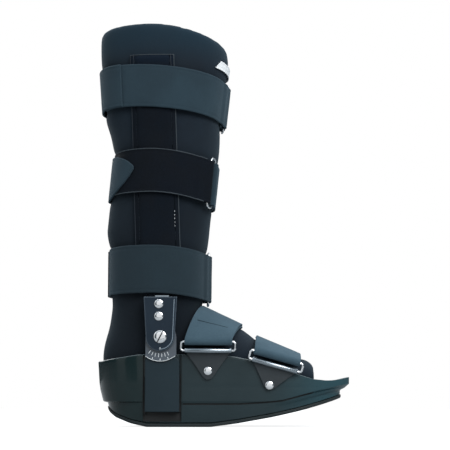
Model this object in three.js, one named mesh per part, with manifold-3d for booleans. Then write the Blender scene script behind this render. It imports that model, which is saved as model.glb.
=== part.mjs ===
// Tall medical walking boot with an ankle hinge: a padded liner in a moulded foot shell, carried by two
// upright stays and closed by webbing straps with wire rings. Millimetres, +Z up, toe along +X, the near
// side along -Y. The origin is on the floor, straight below the ankle pivot.
import * as THREE from "three";
import { mergeVertices } from "three/addons/utils/BufferGeometryUtils.js";
import Module from "manifold-3d";

const wasm = await Module();
wasm.setup();

// Overall sizes
const BOOT_HEIGHT = 432.5; // floor to the padded rim, at the side
const PIVOT_HEIGHT = 93.7; // floor to the ankle pivot
const HEEL_REACH = 70.8; // pivot line back to the heel cup
const TOE_REACH = 203.4; // pivot line forward to the toe bumper
const GAP = 0.35; // clearance between neighbouring pieces

// Padded liner
const CALF_BACK = 71.5; // leg axis to the outside of the foam, behind
const CALF_FRONT = 71.5;
const CALF_SIDE = 61.5;
const FOAM = 8; // thickness of the padded wall round the leg
const FOOT_FOAM = 5; // the same round the foot
const LINER_TOE = 164.7; // pivot line to the open toe end of the liner
const FOREFOOT_TOP = 64; // floor to the top of the liner at its toe end
const INSTEP_TOP = 124.5; // floor to the top of the liner where the leg begins
const RIM_ROLL = 2.5; // the rim's foam rounds over by this much

// Foot shell and outsole
const SHELL_HALF_WIDTH = 57.5; // at the ball of the foot
const SHELL_WALL = 3.8;
const FOOTBED = 23; // floor to the top of the shell's footbed, at the flat stretch
const TOE_SPRING = 27; // how far the outsole has risen at its toe end
const HEEL_SPRING = 19; // the same at the heel
const SHELL_SIDE_TOP = 75.5; // floor to the shell's edge at the ankle
const OUTSOLE = 3.6; // thickness of the rubber
const OUTSOLE_LIP = 1; // the rubber stands proud of the shell by this much
const SEAM_DEPTH = 1.2; // moulded line along the side of the shell
const SEAM_HEIGHT = 1.6;

// Side posts and hinges
const POST_BACK = 16; // pivot line back to the post's rear edge
const POST_FRONT = 20;
const POST_FOOT = 15.6; // floor to the lower end of the post
const POST_SHOULDER = 71; // floor to where the post narrows behind the dial plate
const POST_GROOVE = 2.2; // open line on either side of a post
const POST_PROUD = 0.8; // least that a post stands out past the shell's widest place
const DIAL_RADIUS = 25.8;
const DIAL_THICK = 2;
const COVER_RADIUS = 15.2; // round lower end of the hinge cover
const COVER_THICK = 3.5;
const COVER_BLOCK = 3.5; // between the stay's sleeve and the back of the cover
const COVER_TOP = 135.7; // floor to the top of the hinge cover
const COVER_HALF_TOP = 17.7; // half its width at the top
const SCREW_RADIUS = 6.75;
const HINGE_RIVET_RADIUS = 4.8;
const SHANK_RADIUS = 2;
const HEAD_THICK = 1.6;

// Upright stays
const STAY_WIDTH = 48;
const STAY_THICK = 4;
const STAY_TOP = BOOT_HEIGHT - 34.5;
const STAY_LEAN = 11; // the top of the stay lies this much behind its foot
const STAY_FOOT_WIDTH = 31; // where it runs behind the hinge cover

// Straps
const WEB = 2.2; // thickness of the webbing
const TOP_STRAP_WIDTH = 46;
const TOP_STRAP_MIDDLE = BOOT_HEIGHT - 71; // floor to the middle of the strap, at the side
const LOWER_STRAP_WIDTH = 51;
const LOWER_STRAP_MIDDLE = COVER_TOP + 4.4 + LOWER_STRAP_WIDTH / 2;
const MIDDLE_STRAP_WIDTH = 46;
const MIDDLE_STRAP_MIDDLE = LOWER_STRAP_MIDDLE + 0.537 * (TOP_STRAP_MIDDLE - LOWER_STRAP_MIDDLE);
const SQUEEZE = 2.6; // how deep a strap presses into the foam
const WIRE_RADIUS = 1.5;
const RING_OPENING = 10.4; // between the middles of a leg ring's two long bars
const FOOT_STRAP_WIDTH = 50;
const FOOT_RING_OPENING = 9.2;
const TAB_THICK = 2;
const TAB_RIVET_RADIUS = 4.5;
const ROLL_WALL = 1; // moulded tab edge around the ring's bar
const FOLD_ROOM = 0.6; // between a ring's wire and the webbing folded round it
const FOOT_STRAP_TAIL = 20; // how far a foot strap's end runs down the far wall of the shell
const LABEL_HEIGHT = 12;
const LABEL_THICK = 0.8;
const LABEL_MIDDLE = BOOT_HEIGHT - 30.5; // floor to the label's middle, measured at the leg's axis
const LABEL_START_TURNS = [-39, -31]; // near end at the lower and the upper edge, in degrees from the front
const LABEL_END_TURN = 34;
const RIVET_SHANK = 4.6;
const SCREW_SLOT = 1.4; // width of the pivot screw's slot
const HINGE_RIVETS = [21.5, 34.5]; // pivot up to the rivets of the hinge cover
const HINGE_RIVET_BACK = 1.5; // pivot line back to them
const STAY_SEAT = 0.3; // more room under the sleeve than the plain clearance
const STRAP_SEAT = 0.15; // the same under a leg strap
const FOOT_STRAP_SEAT = 0.7; // the same under a foot strap
const TAB_SEAT = 0.2; // the same under a tab
const SHOULDER = 5; // the foam comes back to its full outline this far from a strap's edge
const HEEL_ROUND = 2.3;
const HEEL_CAP = 50; // length of the rounded heel in plan
const TOE_CAP = 78; // length of the rounded toe in plan
const HEEL_NARROW = 0.93; // the shell's width at the heel, as a share of the ball's
const ANKLE_TOP = 0.139; // share of the height above the pivot where the ankle's sizes end
const ANKLE_BACK = 1.01 * HEEL_REACH; // below the ankle the leg takes its sizes from the shell it sits in
const ANKLE_SIDE = 1.07 * SHELL_HALF_WIDTH;
const PLAN_STEPS = 16; // facets along each side of the shell

const AROUND = 36; // facets round the leg
const INSIDE_AROUND = 20; // facets round the hollow of the liner
const FOOT_AROUND = 24;
const LEG_ROUND = 2.3; // 2 is an ellipse, more is squarer
const FOOT_ROUND_TOP = 2.25;
const FOOT_ROUND_SOLE = 2.8;

// Outline of the leg, from the footbed to the rim. up: share of the height above the pivot, or below it
// with a minus sign. back, front, side: shares of the calf's three sizes. lean: how much lower the front of
// the section lies than its middle, in millimetres at the calf's front. dip: the same for the front alone.
// hollow: the rows that also shape the liner's inside.
const LEG_ROWS = [
  { up: -1.0, back: 0.73, front: 0.6, side: 0.74, lean: 0, dip: 0 },
  { up: -0.86, back: 0.86, front: 0.66, side: 0.8, lean: 0, dip: 0 },
  { up: -0.46, back: 0.9, front: 0.68, side: 0.81, lean: 0, dip: 0 },
  { up: -0.29, back: 0.915, front: 0.68, side: 0.82, lean: 0, dip: 0, hollow: true },
  { up: -0.11, back: 0.9, front: 0.66, side: 0.836, lean: 0, dip: 1 },
  { up: 0.04, back: 0.815, front: 0.6, side: 0.84, lean: 0, dip: 3 },
  { up: 0.1, back: 0.775, front: 0.53, side: 0.845, lean: 0, dip: 5, hollow: true },
  { up: 0.12, back: 0.765, front: 0.6, side: 0.85, lean: 0, dip: 8 },
  { up: 0.139, back: 0.836, front: 0.665, side: 0.86, lean: 0, dip: 10 },
  { up: 0.285, back: 0.828, front: 0.665, side: 0.88, lean: 0, dip: 10, hollow: true },
  { up: 0.343, back: 0.874, front: 0.7, side: 0.89, lean: 0, dip: 12 },
  { up: 0.426, back: 0.835, front: 0.735, side: 0.905, lean: 0.4, dip: 14 },
  { up: 0.458, back: 0.815, front: 0.765, side: 0.91, lean: 0.5, dip: 15, hollow: true },
  { up: 0.586, back: 0.75, front: 0.825, side: 0.93, lean: 1, dip: 13, hollow: true },
  { up: 0.61, back: 0.785, front: 0.85, side: 0.935, lean: 1.5, dip: 11 },
  { up: 0.656, back: 0.83, front: 0.87, side: 0.94, lean: 3, dip: 7 },
  { up: 0.706, back: 0.92, front: 0.875, side: 0.955, lean: 4.5, dip: 4, hollow: true },
  { up: 0.742, back: 0.948, front: 0.915, side: 0.96, lean: 4.7, dip: 3.5 },
  { up: 0.868, back: 0.985, front: 0.97, side: 0.985, lean: 4.7, dip: 3.5, hollow: true },
  { up: 0.916, back: 1.0, front: 1.005, side: 0.99, lean: 3.5, dip: 8 },
  { up: 0.963, back: 1.003, front: 1.005, side: 0.997, lean: 1.5, dip: 14 },
  { up: 1.0, back: 1.0, front: 0.985, side: 1.0, lean: 0, dip: 18, hollow: true },
];

// Top line of the liner's foot. along: share of the way from the pivot line to the toe end. top: share of
// the drop from the instep to the toe end. width: share of the room between the shell's walls.
const FOOT_ROWS = [
  { along: 0.1, top: 0.12, width: 0.93 },
  { along: 0.225, top: 0.0, width: 0.96 },
  { along: 0.27, top: 0.0, width: 0.97 },
  { along: 0.4, top: 0.17, width: 0.98 },
  { along: 0.525, top: 0.33, width: 0.985 },
  { along: 0.56, top: 0.4, width: 0.99 },
  { along: 0.61, top: 0.51, width: 0.99 },
  { along: 0.635, top: 0.575, width: 0.99 },
  { along: 0.76, top: 0.7, width: 0.985 },
  { along: 0.895, top: 0.87, width: 0.98 },
  { along: 0.93, top: 0.85, width: 0.975 },
  { along: 0.97, top: 0.92, width: 0.97 },
  { along: 1.0, top: 1.0, width: 0.96 },
];

// Levels of the shell's outline. up: share of the shell's height at the ankle. heel, toe: how far the
// outline draws in from the full reach, in shares of the shell's half width. width: share of it.
const SHELL_ROWS = [
  { up: 0.0, heel: 0.31, toe: 0.2, width: 0.93 },
  { up: 0.335, heel: 0.2, toe: 0.19, width: 0.965 },
  { up: 0.35, heel: 0.115, toe: 0.19, width: 0.975 },
  { up: 0.51, heel: 0.06, toe: 0.185, width: 0.985 },
  { up: 0.54, heel: 0.055, toe: 0.1, width: 0.985 },
  { up: 0.6, heel: 0.04, toe: 0.01, width: 0.99 },
  { up: 1.05, heel: 0.0, toe: 0.0, width: 1.0 },
];

// Upper edge of the shell's wall. along: share of the reach behind (minus) or ahead of the pivot line.
// up: share of the shell's height at the ankle.
const WALL_EDGE = [
  { along: -1.1, up: 0.915 },
  { along: -0.9, up: 0.92 },
  { along: -0.34, up: 0.998 },
  { along: 0.12, up: 1.0 },
  { along: 0.37, up: 0.975 },
  { along: 0.45, up: 0.935 },
  { along: 0.58, up: 0.83 },
  { along: 0.71, up: 0.728 },
  { along: 0.79, up: 0.66 },
  { along: 0.87, up: 0.64 },
  { along: 0.93, up: 0.655 },
  { along: 1.0, up: 0.7 },
  { along: 1.05, up: 0.715 },
];

// Rocker under the boot. up: share of the toe's or the heel's spring.
const ROCKER = [
  { along: -0.9, up: 1.15 },
  { along: -0.77, up: 0.74 },
  { along: -0.68, up: 0.52 },
  { along: -0.45, up: 0.2 },
  { along: -0.2, up: 0.0 },
  { along: 0.26, up: 0.0 },
  { along: 0.4, up: 0.14 },
  { along: 0.585, up: 0.39 },
  { along: 0.72, up: 0.62 },
  { along: 0.835, up: 0.86 },
  { along: 0.9, up: 1.01 },
  { along: 1.0, up: 1.25 },
];

// Footbed, which the moulded line on the shell's side follows. up: share of the footbed's height.
const BED = [
  { along: -1.1, up: 1.0 },
  { along: 0.4, up: 1.0 },
  { along: 0.5, up: 1.05 },
  { along: 0.62, up: 1.13 },
  { along: 0.77, up: 1.48 },
  { along: 0.92, up: 1.77 },
  { along: 1.05, up: 1.95 },
];

const COLOURS = {
  foam: [0x242d38, 0.95, 0],
  webbing: [0x44525e, 0.85, 0],
  footWebbing: [0x5a6e7a, 0.85, 0],
  pile: [0x191d24, 1, 0],
  sleeve: [0x16191e, 1, 0],
  shell: [0x3a4449, 0.42, 0],
  rubber: [0x2b3336, 0.8, 0],
  cover: [0x353f49, 0.5, 0],
  dial: [0x4a535a, 0.4, 0.3],
  tab: [0x33393f, 0.6, 0],
  metal: [0xc9cdd1, 0.25, 1],
  label: [0xe9eff3, 0.7, 0],
};

const boot = new THREE.Group();

function addPiece(name, geometry, colour) {
  const [hex, roughness, metalness] = COLOURS[colour];
  const material = new THREE.MeshStandardMaterial({ color: hex, roughness, metalness });
  const mesh = new THREE.Mesh(geometry, material);
  mesh.name = name;
  boot.add(mesh);
}

// Reads a column of a table at a place between two rows.
function readTable(rows, key, column, at) {
  let i = 1;
  while (i < rows.length - 1 && rows[i][key] < at) i += 1;
  const low = rows[i - 1];
  const high = rows[i];
  const share = (at - low[key]) / (high[key] - low[key]);
  return low[column] + (high[column] - low[column]) * THREE.MathUtils.clamp(share, 0, 1);
}

// Solids: a closed geometry goes to manifold-3d for a cut or a join, and comes back.
function toSolid(geometry) {
  const bare = geometry.clone();
  bare.deleteAttribute("normal");
  bare.deleteAttribute("uv");
  const merged = mergeVertices(bare, 1e-4);
  const vertProperties = new Float32Array(merged.attributes.position.array);
  const triVerts = new Uint32Array(merged.index.array);
  return new wasm.Manifold(new wasm.Mesh({ numProp: 3, vertProperties, triVerts }));
}

function toGeometry(solid) {
  const mesh = solid.getMesh();
  const geometry = new THREE.BufferGeometry();
  geometry.setAttribute("position", new THREE.BufferAttribute(new Float32Array(mesh.vertProperties), 3));
  geometry.setIndex(new THREE.BufferAttribute(new Uint32Array(mesh.triVerts), 1));
  geometry.computeVertexNormals();
  return geometry;
}

// Skin through rings of points that all have the same count, closed by a flat fan at both ends.
function loft(rings) {
  const count = rings[0].length;
  const points = rings.flat();
  const faces = [];
  for (let r = 0; r < rings.length - 1; r += 1) {
    for (let i = 0; i < count; i += 1) {
      const a = r * count + i;
      const b = r * count + ((i + 1) % count);
      faces.push(a, b, b + count, a, b + count, a + count);
    }
  }
  for (const [r, turn] of [[0, true], [rings.length - 1, false]]) {
    const middle = rings[r].reduce((sum, p) => sum.add(p), new THREE.Vector3()).divideScalar(count);
    points.push(middle);
    for (let i = 0; i < count; i += 1) {
      const a = r * count + i;
      const b = r * count + ((i + 1) % count);
      faces.push(...(turn ? [b, a, points.length - 1] : [a, b, points.length - 1]));
    }
  }
  return facing(new THREE.BufferGeometry().setFromPoints(points), faces);
}

// Sets the faces of a closed geometry and turns them outwards where the volume comes out negative.
function facing(geometry, faces) {
  const position = geometry.attributes.position;
  const [a, b, c] = [0, 1, 2].map(() => new THREE.Vector3());
  let volume = 0;
  for (let i = 0; i < faces.length; i += 3) {
    a.fromBufferAttribute(position, faces[i]);
    b.fromBufferAttribute(position, faces[i + 1]);
    c.fromBufferAttribute(position, faces[i + 2]);
    volume += a.dot(b.cross(c));
  }
  const turned = [];
  for (let i = 0; i < faces.length; i += 3) {
    turned.push(faces[i], ...(volume < 0 ? [faces[i + 2], faces[i + 1]] : [faces[i + 1], faces[i + 2]]));
  }
  geometry.setIndex(turned);
  geometry.computeVertexNormals();
  return geometry;
}

// A sheet over a grid: place(i, j) gives the point in the middle of the thickness, the way out of the
// sheet and, where it isn't the usual one, the thickness there.
function sheet(rows, columns, place, usual) {
  const outer = [];
  const inner = [];
  for (let i = 0; i < rows; i += 1) {
    for (let j = 0; j < columns; j += 1) {
      const [point, out, thick = usual] = place(i, j);
      outer.push(point.clone().addScaledVector(out, thick / 2));
      inner.push(point.clone().addScaledVector(out, -thick / 2));
    }
  }
  const under = outer.length;
  const faces = [];
  const quad = (a, b, c, d) => faces.push(a, b, c, a, c, d);
  for (let i = 0; i < rows - 1; i += 1) {
    for (let j = 0; j < columns - 1; j += 1) {
      const a = i * columns + j;
      quad(a, a + 1, a + 1 + columns, a + columns);
      quad(under + a, under + a + columns, under + a + 1 + columns, under + a + 1);
    }
  }
  const last = (rows - 1) * columns;
  for (let j = 0; j < columns - 1; j += 1) {
    quad(j + 1, j, under + j, under + j + 1);
    quad(last + j, last + j + 1, under + last + j + 1, under + last + j);
  }
  for (let i = 0; i < rows - 1; i += 1) {
    const a = i * columns;
    const b = a + columns - 1;
    quad(a, a + columns, under + a + columns, under + a);
    quad(b + columns, b, under + b, under + b + columns);
  }
  return facing(new THREE.BufferGeometry().setFromPoints([...outer, ...inner]), faces);
}

// Webbing along two edge lines that have the same number of points.
function ribbon(lowEdge, highEdge) {
  const middle = lowEdge.map((p, i) => p.clone().add(highEdge[i]).multiplyScalar(0.5));
  const outAt = (i) => {
    const along = middle[Math.min(i + 1, middle.length - 1)].clone().sub(middle[Math.max(i - 1, 0)]);
    const across = highEdge[i].clone().sub(lowEdge[i]);
    return along.cross(across).normalize();
  };
  return sheet(lowEdge.length, 2, (i, j) => [j ? highEdge[i] : lowEdge[i], outAt(i)], WEB);
}

// Round wire bent to a closed flat loop.
function wireLoop(points, flat, radius) {
  const sides = 6;
  const rings = points.map((p, i) => {
    const before = points[(i + points.length - 1) % points.length];
    const after = points[(i + 1) % points.length];
    const along = after.clone().sub(before).normalize();
    const across = flat.clone().cross(along).normalize();
    return Array.from({ length: sides }, (_, k) => {
      const turn = (2 * Math.PI * k) / sides;
      const ray = flat.clone().multiplyScalar(radius * Math.cos(turn));
      return p.clone().add(ray).addScaledVector(across, radius * Math.sin(turn));
    });
  });
  const faces = [];
  rings.forEach((_, r) => {
    for (let k = 0; k < sides; k += 1) {
      const a = r * sides + k;
      const b = r * sides + ((k + 1) % sides);
      const c = ((r + 1) % rings.length) * sides;
      faces.push(a, b, c + ((k + 1) % sides), a, c + ((k + 1) % sides), c + k);
    }
  });
  return facing(new THREE.BufferGeometry().setFromPoints(rings.flat()), faces);
}

// Centre line of a rectangular ring. The long bars run along `long`, a half opening to each side of `mid`.
function ringLine(mid, long, short, halfLong, halfShort) {
  const bend = halfShort * 0.55;
  const points = [];
  for (const [sx, sy] of [[1, 1], [-1, 1], [-1, -1], [1, -1]]) {
    for (let k = 0; k <= 2; k += 1) {
      const turn = ((sx * sy > 0 ? k : 2 - k) * Math.PI) / 4;
      const u = halfLong - bend + bend * Math.cos(turn);
      const v = halfShort - bend + bend * Math.sin(turn);
      points.push(mid.clone().addScaledVector(long, sx * u).addScaledVector(short, sy * v));
    }
  }
  return points;
}

// Leg: sections of the liner, and the places of what is strapped round it
const bedTop = FOOTBED + GAP;
const heightOf = (up) =>
  up < 0 ? bedTop + (1 + up) * (PIVOT_HEIGHT - bedTop) : PIVOT_HEIGHT + up * (BOOT_HEIGHT - PIVOT_HEIGHT);
const shareAt = (z) =>
  z < PIVOT_HEIGHT
    ? (z - bedTop) / (PIVOT_HEIGHT - bedTop) - 1
    : (z - PIVOT_HEIGHT) / (BOOT_HEIGHT - PIVOT_HEIGHT);

const strapEdges = [
  [LOWER_STRAP_MIDDLE, LOWER_STRAP_WIDTH],
  [MIDDLE_STRAP_MIDDLE, MIDDLE_STRAP_WIDTH],
  [TOP_STRAP_MIDDLE, TOP_STRAP_WIDTH],
].map(([middle, width]) => [middle - width / 2, middle + width / 2]);

function pressedAt(z) {
  const away = Math.min(...strapEdges.map(([low, high]) => Math.max(low - z, z - high, 0)));
  return SQUEEZE * THREE.MathUtils.clamp(1 - away / SHOULDER, 0, 1);
}

// A section of the leg at a height, as half axes and the slope of its plane.
function legSection(z) {
  const up = shareAt(z);
  const read = (column) => readTable(LEG_ROWS, "up", column, up);
  const calf = THREE.MathUtils.clamp(up / ANKLE_TOP, 0, 1);
  return {
    z,
    back: THREE.MathUtils.lerp(ANKLE_BACK, CALF_BACK, calf) * read("back") - pressedAt(z),
    front: CALF_FRONT * read("front") - pressedAt(z),
    side: THREE.MathUtils.lerp(ANKLE_SIDE, CALF_SIDE, calf) * read("side"),
    lean: read("lean"),
    dip: read("dip"),
  };
}

// A point on a section. turn 0 is the front, a quarter turn the far side. lift stands off the foam, and
// sideLift stands off it at the sides only.
function legPoint(section, turn, lift, sideLift) {
  const c = Math.cos(turn);
  const s = Math.sin(turn);
  const power = 2 / LEG_ROUND;
  const reach = (c > 0 ? section.front : section.back) + lift;
  const x = reach * Math.sign(c) * Math.abs(c) ** power;
  const y = (section.side + lift + sideLift) * Math.sign(s) * Math.abs(s) ** power;
  const ahead = Math.max(0, (x + 0.14 * CALF_FRONT) / (1.14 * CALF_FRONT));
  const z = section.z - (section.lean * x) / CALF_FRONT - section.dip * ahead ** 1.6;
  return new THREE.Vector3(x, y, z);
}

const turnOf = (degrees) => (degrees * Math.PI) / 180;

function legRing(section, lift, facets = AROUND) {
  return Array.from({ length: facets }, (_, i) => legPoint(section, (2 * Math.PI * i) / facets, lift, 0));
}

// Heights of the liner's sections: the table's rows outside the straps, and the straps' own edges.
function linerHeights() {
  const edges = strapEdges.flatMap(([low, high]) => [low - SHOULDER, low, high, high + SHOULDER]);
  const free = LEG_ROWS.map((row) => heightOf(row.up)).filter((z) =>
    strapEdges.every(([low, high]) => z < low - SHOULDER - 2 || z > high + SHOULDER + 2),
  );
  return [...edges, ...free].filter((z) => z <= BOOT_HEIGHT).sort((a, b) => a - b);
}

// Foot: inside of the shell, and the liner's foot in it
const alongOf = (x) => (x < 0 ? x / HEEL_REACH : x / TOE_REACH);
const bedAt = (x) => FOOTBED * readTable(BED, "along", "up", alongOf(x));
const rockerAt = (x) => (x < 0 ? HEEL_SPRING : TOE_SPRING) * readTable(ROCKER, "along", "up", alongOf(x));
const wallEdgeAt = (x) => SHELL_SIDE_TOP * readTable(WALL_EDGE, "along", "up", alongOf(x));

// Half width of the foot's plan at x, for an outline that runs from heel to toe.
function planHalf(x, heel, toe, half) {
  const grow = THREE.MathUtils.clamp((x + HEEL_REACH) / (HEEL_REACH + 0.55 * TOE_REACH), 0, 1);
  const full = half * (HEEL_NARROW + (1 - HEEL_NARROW) * grow);
  const near = Math.max(0, (heel + HEEL_CAP - x) / HEEL_CAP);
  const far = Math.max(0, (x - toe + TOE_CAP) / TOE_CAP);
  const cap = Math.min(1, Math.max(near, far));
  return full * (1 - cap ** HEEL_ROUND) ** (1 / HEEL_ROUND);
}

function planRing(z, heel, toe, half) {
  const stations = Array.from({ length: PLAN_STEPS + 1 }, (_, i) => {
    const share = (1 - Math.cos((Math.PI * i) / PLAN_STEPS)) / 2;
    return heel + (toe - heel) * share;
  });
  const side = stations.slice(1, -1).map((x) => [x, planHalf(x, heel, toe, half)]);
  const near = side.map(([x, y]) => new THREE.Vector3(x, -y, z));
  const far = side.map(([x, y]) => new THREE.Vector3(x, y, z)).reverse();
  return [new THREE.Vector3(heel, 0, z), ...near, new THREE.Vector3(toe, 0, z), ...far];
}

function shellRing(row, inset) {
  const heel = -HEEL_REACH + SHELL_HALF_WIDTH * row.heel + inset;
  const toe = TOE_REACH - SHELL_HALF_WIDTH * row.toe - inset;
  return planRing(row.up * SHELL_SIDE_TOP, heel, toe, SHELL_HALF_WIDTH * row.width - inset);
}

function shellHalfAt(x, z) {
  const read = (column) => readTable(SHELL_ROWS, "up", column, z / SHELL_SIDE_TOP);
  const heel = -HEEL_REACH + SHELL_HALF_WIDTH * read("heel");
  const toe = TOE_REACH - SHELL_HALF_WIDTH * read("toe");
  return planHalf(x, heel, toe, SHELL_HALF_WIDTH * read("width"));
}

// A slab between two side-view lines, across the whole boot.
function sideSlab(rows, lowAt, highAt) {
  const reach = (row) => row.along * (row.along < 0 ? HEEL_REACH : TOE_REACH);
  const stations = rows.map(reach);
  const shape = new THREE.Shape();
  stations.forEach((x, i) => (i ? shape.lineTo(x, lowAt(x)) : shape.moveTo(x, lowAt(x))));
  [...stations].reverse().forEach((x) => shape.lineTo(x, highAt(x)));
  const depth = 4 * SHELL_HALF_WIDTH;
  const slab = new THREE.ExtrudeGeometry(shape, { depth, bevelEnabled: false });
  slab.rotateX(Math.PI / 2);
  slab.translate(0, depth / 2, 0);
  return toSolid(slab);
}

// Padded liner: a leg tube and a foot tube joined to one sock, open at the rim and at the toe
function footRing(x, row, inset, facets) {
  const bottom = bedAt(x) + GAP + inset;
  const top = INSTEP_TOP - (INSTEP_TOP - FOREFOOT_TOP) * row.top - inset;
  const room = shellHalfAt(x, 0.6 * SHELL_SIDE_TOP) - SHELL_WALL - GAP;
  const half = room * row.width - inset;
  const middle = (bottom + top) / 2;
  return Array.from({ length: facets }, (_, i) => {
    const turn = (2 * Math.PI * i) / facets;
    const c = Math.cos(turn);
    const s = Math.sin(turn);
    const power = 2 / (s > 0 ? FOOT_ROUND_TOP : FOOT_ROUND_SOLE);
    const y = half * Math.sign(c) * Math.abs(c) ** power;
    const z = middle + (top - middle) * Math.sign(s) * Math.abs(s) ** power;
    return new THREE.Vector3(x, y, z);
  });
}

function makeLiner() {
  const legRings = linerHeights().map((z) => legRing(legSection(z), 0));
  legRings.push(legRing({ ...legSection(BOOT_HEIGHT), z: BOOT_HEIGHT + RIM_ROLL }, -RIM_ROLL));
  const holeHeights = LEG_ROWS.filter((row) => row.hollow).map((row) => heightOf(row.up));
  const holeRings = [bedTop + FOAM, ...holeHeights].map(legSection).map((section) => {
    const more = SQUEEZE - pressedAt(section.z);
    const pressed = { ...section, back: section.back - more, front: section.front - more };
    return legRing(pressed, -FOAM, INSIDE_AROUND);
  });
  const past = { ...legSection(BOOT_HEIGHT), z: BOOT_HEIGHT + 4 * RIM_ROLL };
  holeRings.push(legRing(past, -FOAM + RIM_ROLL, INSIDE_AROUND));
  const footRings = FOOT_ROWS.map((row) => footRing(row.along * LINER_TOE, row, 0, FOOT_AROUND));
  const tunnel = FOOT_ROWS.filter((_, i) => i % 3 === 0);
  const tunnelRings = tunnel.map((row) => footRing(row.along * LINER_TOE, row, FOOT_FOAM, INSIDE_AROUND));
  tunnelRings.push(footRing(LINER_TOE + FOAM, tunnel[tunnel.length - 1], FOOT_FOAM, INSIDE_AROUND));
  const body = toSolid(loft(legRings)).add(toSolid(loft(footRings)));
  const hollow = toSolid(loft(holeRings)).add(toSolid(loft(tunnelRings)));
  return toGeometry(body.subtract(hollow));
}

// Upright stay in its sleeve, laid along the side of the liner
function stayMiddle(z) {
  const share = (z - PIVOT_HEIGHT) / (STAY_TOP - PIVOT_HEIGHT);
  return POST_FRONT / 2 - POST_BACK / 2 - 2 - STAY_LEAN * share;
}

function coverHalfAt(z) {
  return THREE.MathUtils.lerp(COVER_RADIUS, COVER_HALF_TOP, (z - PIVOT_HEIGHT) / (COVER_TOP - PIVOT_HEIGHT));
}

// Places across the boot, from the liner outwards, on either side.
const stayFace = legSection(COVER_TOP).side + 2 * GAP + 2 * STAY_SEAT + STAY_THICK;
const coverBack = Math.max(stayFace + COVER_BLOCK, SHELL_HALF_WIDTH + POST_PROUD + 2 * GAP + DIAL_THICK);
const coverFace = coverBack + COVER_THICK;
const postFace = coverBack - 2 * GAP - DIAL_THICK;
const postBack = legSection(PIVOT_HEIGHT).side + 2 * GAP;

function sidePoint(section, x, lift) {
  const reach = x > 0 ? section.front : section.back;
  const share = Math.min(1, Math.abs(x) / (reach + lift));
  const y = (section.side + lift) * (1 - share ** LEG_ROUND) ** (1 / LEG_ROUND);
  const edge = legPoint(section, Math.PI / 2, lift, 0);
  return new THREE.Vector3(x, y, edge.z);
}

function makeStay(side) {
  const profile = [0.45, 1, 1, 1, 1, 1, 0.45]; // the sleeve thins out to its sewn edges
  const across = [-0.5, -0.4, -0.2, 0, 0.2, 0.4, 0.5];
  const neck = strapEdges[0][0] + 3;
  const foot = PIVOT_HEIGHT + DIAL_RADIUS * 0.8;
  const widths = [
    [foot, STAY_FOOT_WIDTH],
    [neck - 2, STAY_FOOT_WIDTH],
    [neck + 6, STAY_WIDTH],
  ];
  const above = linerHeights().filter((z) => z > neck + 10 && z < STAY_TOP - 4);
  const levels = [...widths, ...above.map((z) => [z, STAY_WIDTH]), [STAY_TOP, STAY_WIDTH]];
  const place = (i, j) => {
    const [z, width] = levels[i];
    const thick = STAY_THICK * profile[j];
    const point = sidePoint(legSection(z), stayMiddle(z) + width * across[j], GAP + STAY_SEAT + thick / 2);
    point.y *= side;
    return [point, new THREE.Vector3(0, side, 0), thick];
  };
  return sheet(levels.length, across.length, place, STAY_THICK);
}

// Leg straps. A strap path is a list of places round the leg: the turn in degrees, and the layer it lies in
const layerLift = (layer) => GAP + STRAP_SEAT + WEB / 2 + layer * (WEB + GAP);
const stayRoom = STAY_THICK + 2 * GAP + 0.9;

function strapPoint(section, turn, lift) {
  return legPoint(section, turn, lift, stayRoom);
}

// Millimetres along the strap for one radian of turn, at a ring.
function speedAt(section, turn) {
  const step = 0.05;
  return strapPoint(section, turn + step, 0).distanceTo(strapPoint(section, turn - step, 0)) / (2 * step);
}

const foldRadius = WIRE_RADIUS + FOLD_ROOM + WEB / 2;
const barLift = layerLift(0) + foldRadius;

// Fold of webbing round one bar of a ring, as places [millimetres from the ring's middle, lift]. side is -1
// for the bar on the near side of the ring and 1 for the far one. The list runs from outside to inside.
function foldPlaces(side) {
  const bar = RING_OPENING / 2;
  const places = [];
  for (let k = 0; k <= 6; k += 1) {
    const turn = Math.PI / 2 - (Math.PI * k) / 6;
    places.push([side * (bar - foldRadius * Math.cos(turn)), barLift + foldRadius * Math.sin(turn)]);
  }
  return places;
}

// Two edge lines of a strap, from a path that holds turns with layers and folds at a ring. A place with low
// and high keeps only that share of the strap's breadth.
function strapRibbon(edges, path, ringTurn) {
  const sections = edges.map(legSection);
  const lines = sections.map((section) => {
    const speed = speedAt(section, turnOf(ringTurn));
    return path.map((place) => {
      if (place.turn !== undefined) return strapPoint(section, turnOf(place.turn), layerLift(place.layer));
      const [slide, lift] = place.slide;
      return strapPoint(section, turnOf(ringTurn) + slide / speed, lift);
    });
  });
  const [low, high] = lines;
  path.forEach((place, i) => {
    if (place.low === undefined) return;
    const bottom = low[i].clone().lerp(high[i], place.low);
    high[i].lerpVectors(low[i], high[i], place.high);
    low[i] = bottom;
  });
  return ribbon(low, high);
}

// Turns in even steps, at the liner's own facets.
function turnsBetween(from, to, layer) {
  const step = 360 / AROUND;
  const sign = Math.sign(to - from);
  const places = [{ turn: from, layer }];
  const first = sign > 0 ? Math.floor(from / step) + 1 : Math.ceil(from / step) - 1;
  for (let k = first; sign * (to - k * step) > 0.25 * step; k += sign) {
    if (sign * (k * step - from) > 0.25 * step) places.push({ turn: k * step, layer });
  }
  places.push({ turn: to, layer });
  return places;
}

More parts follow.
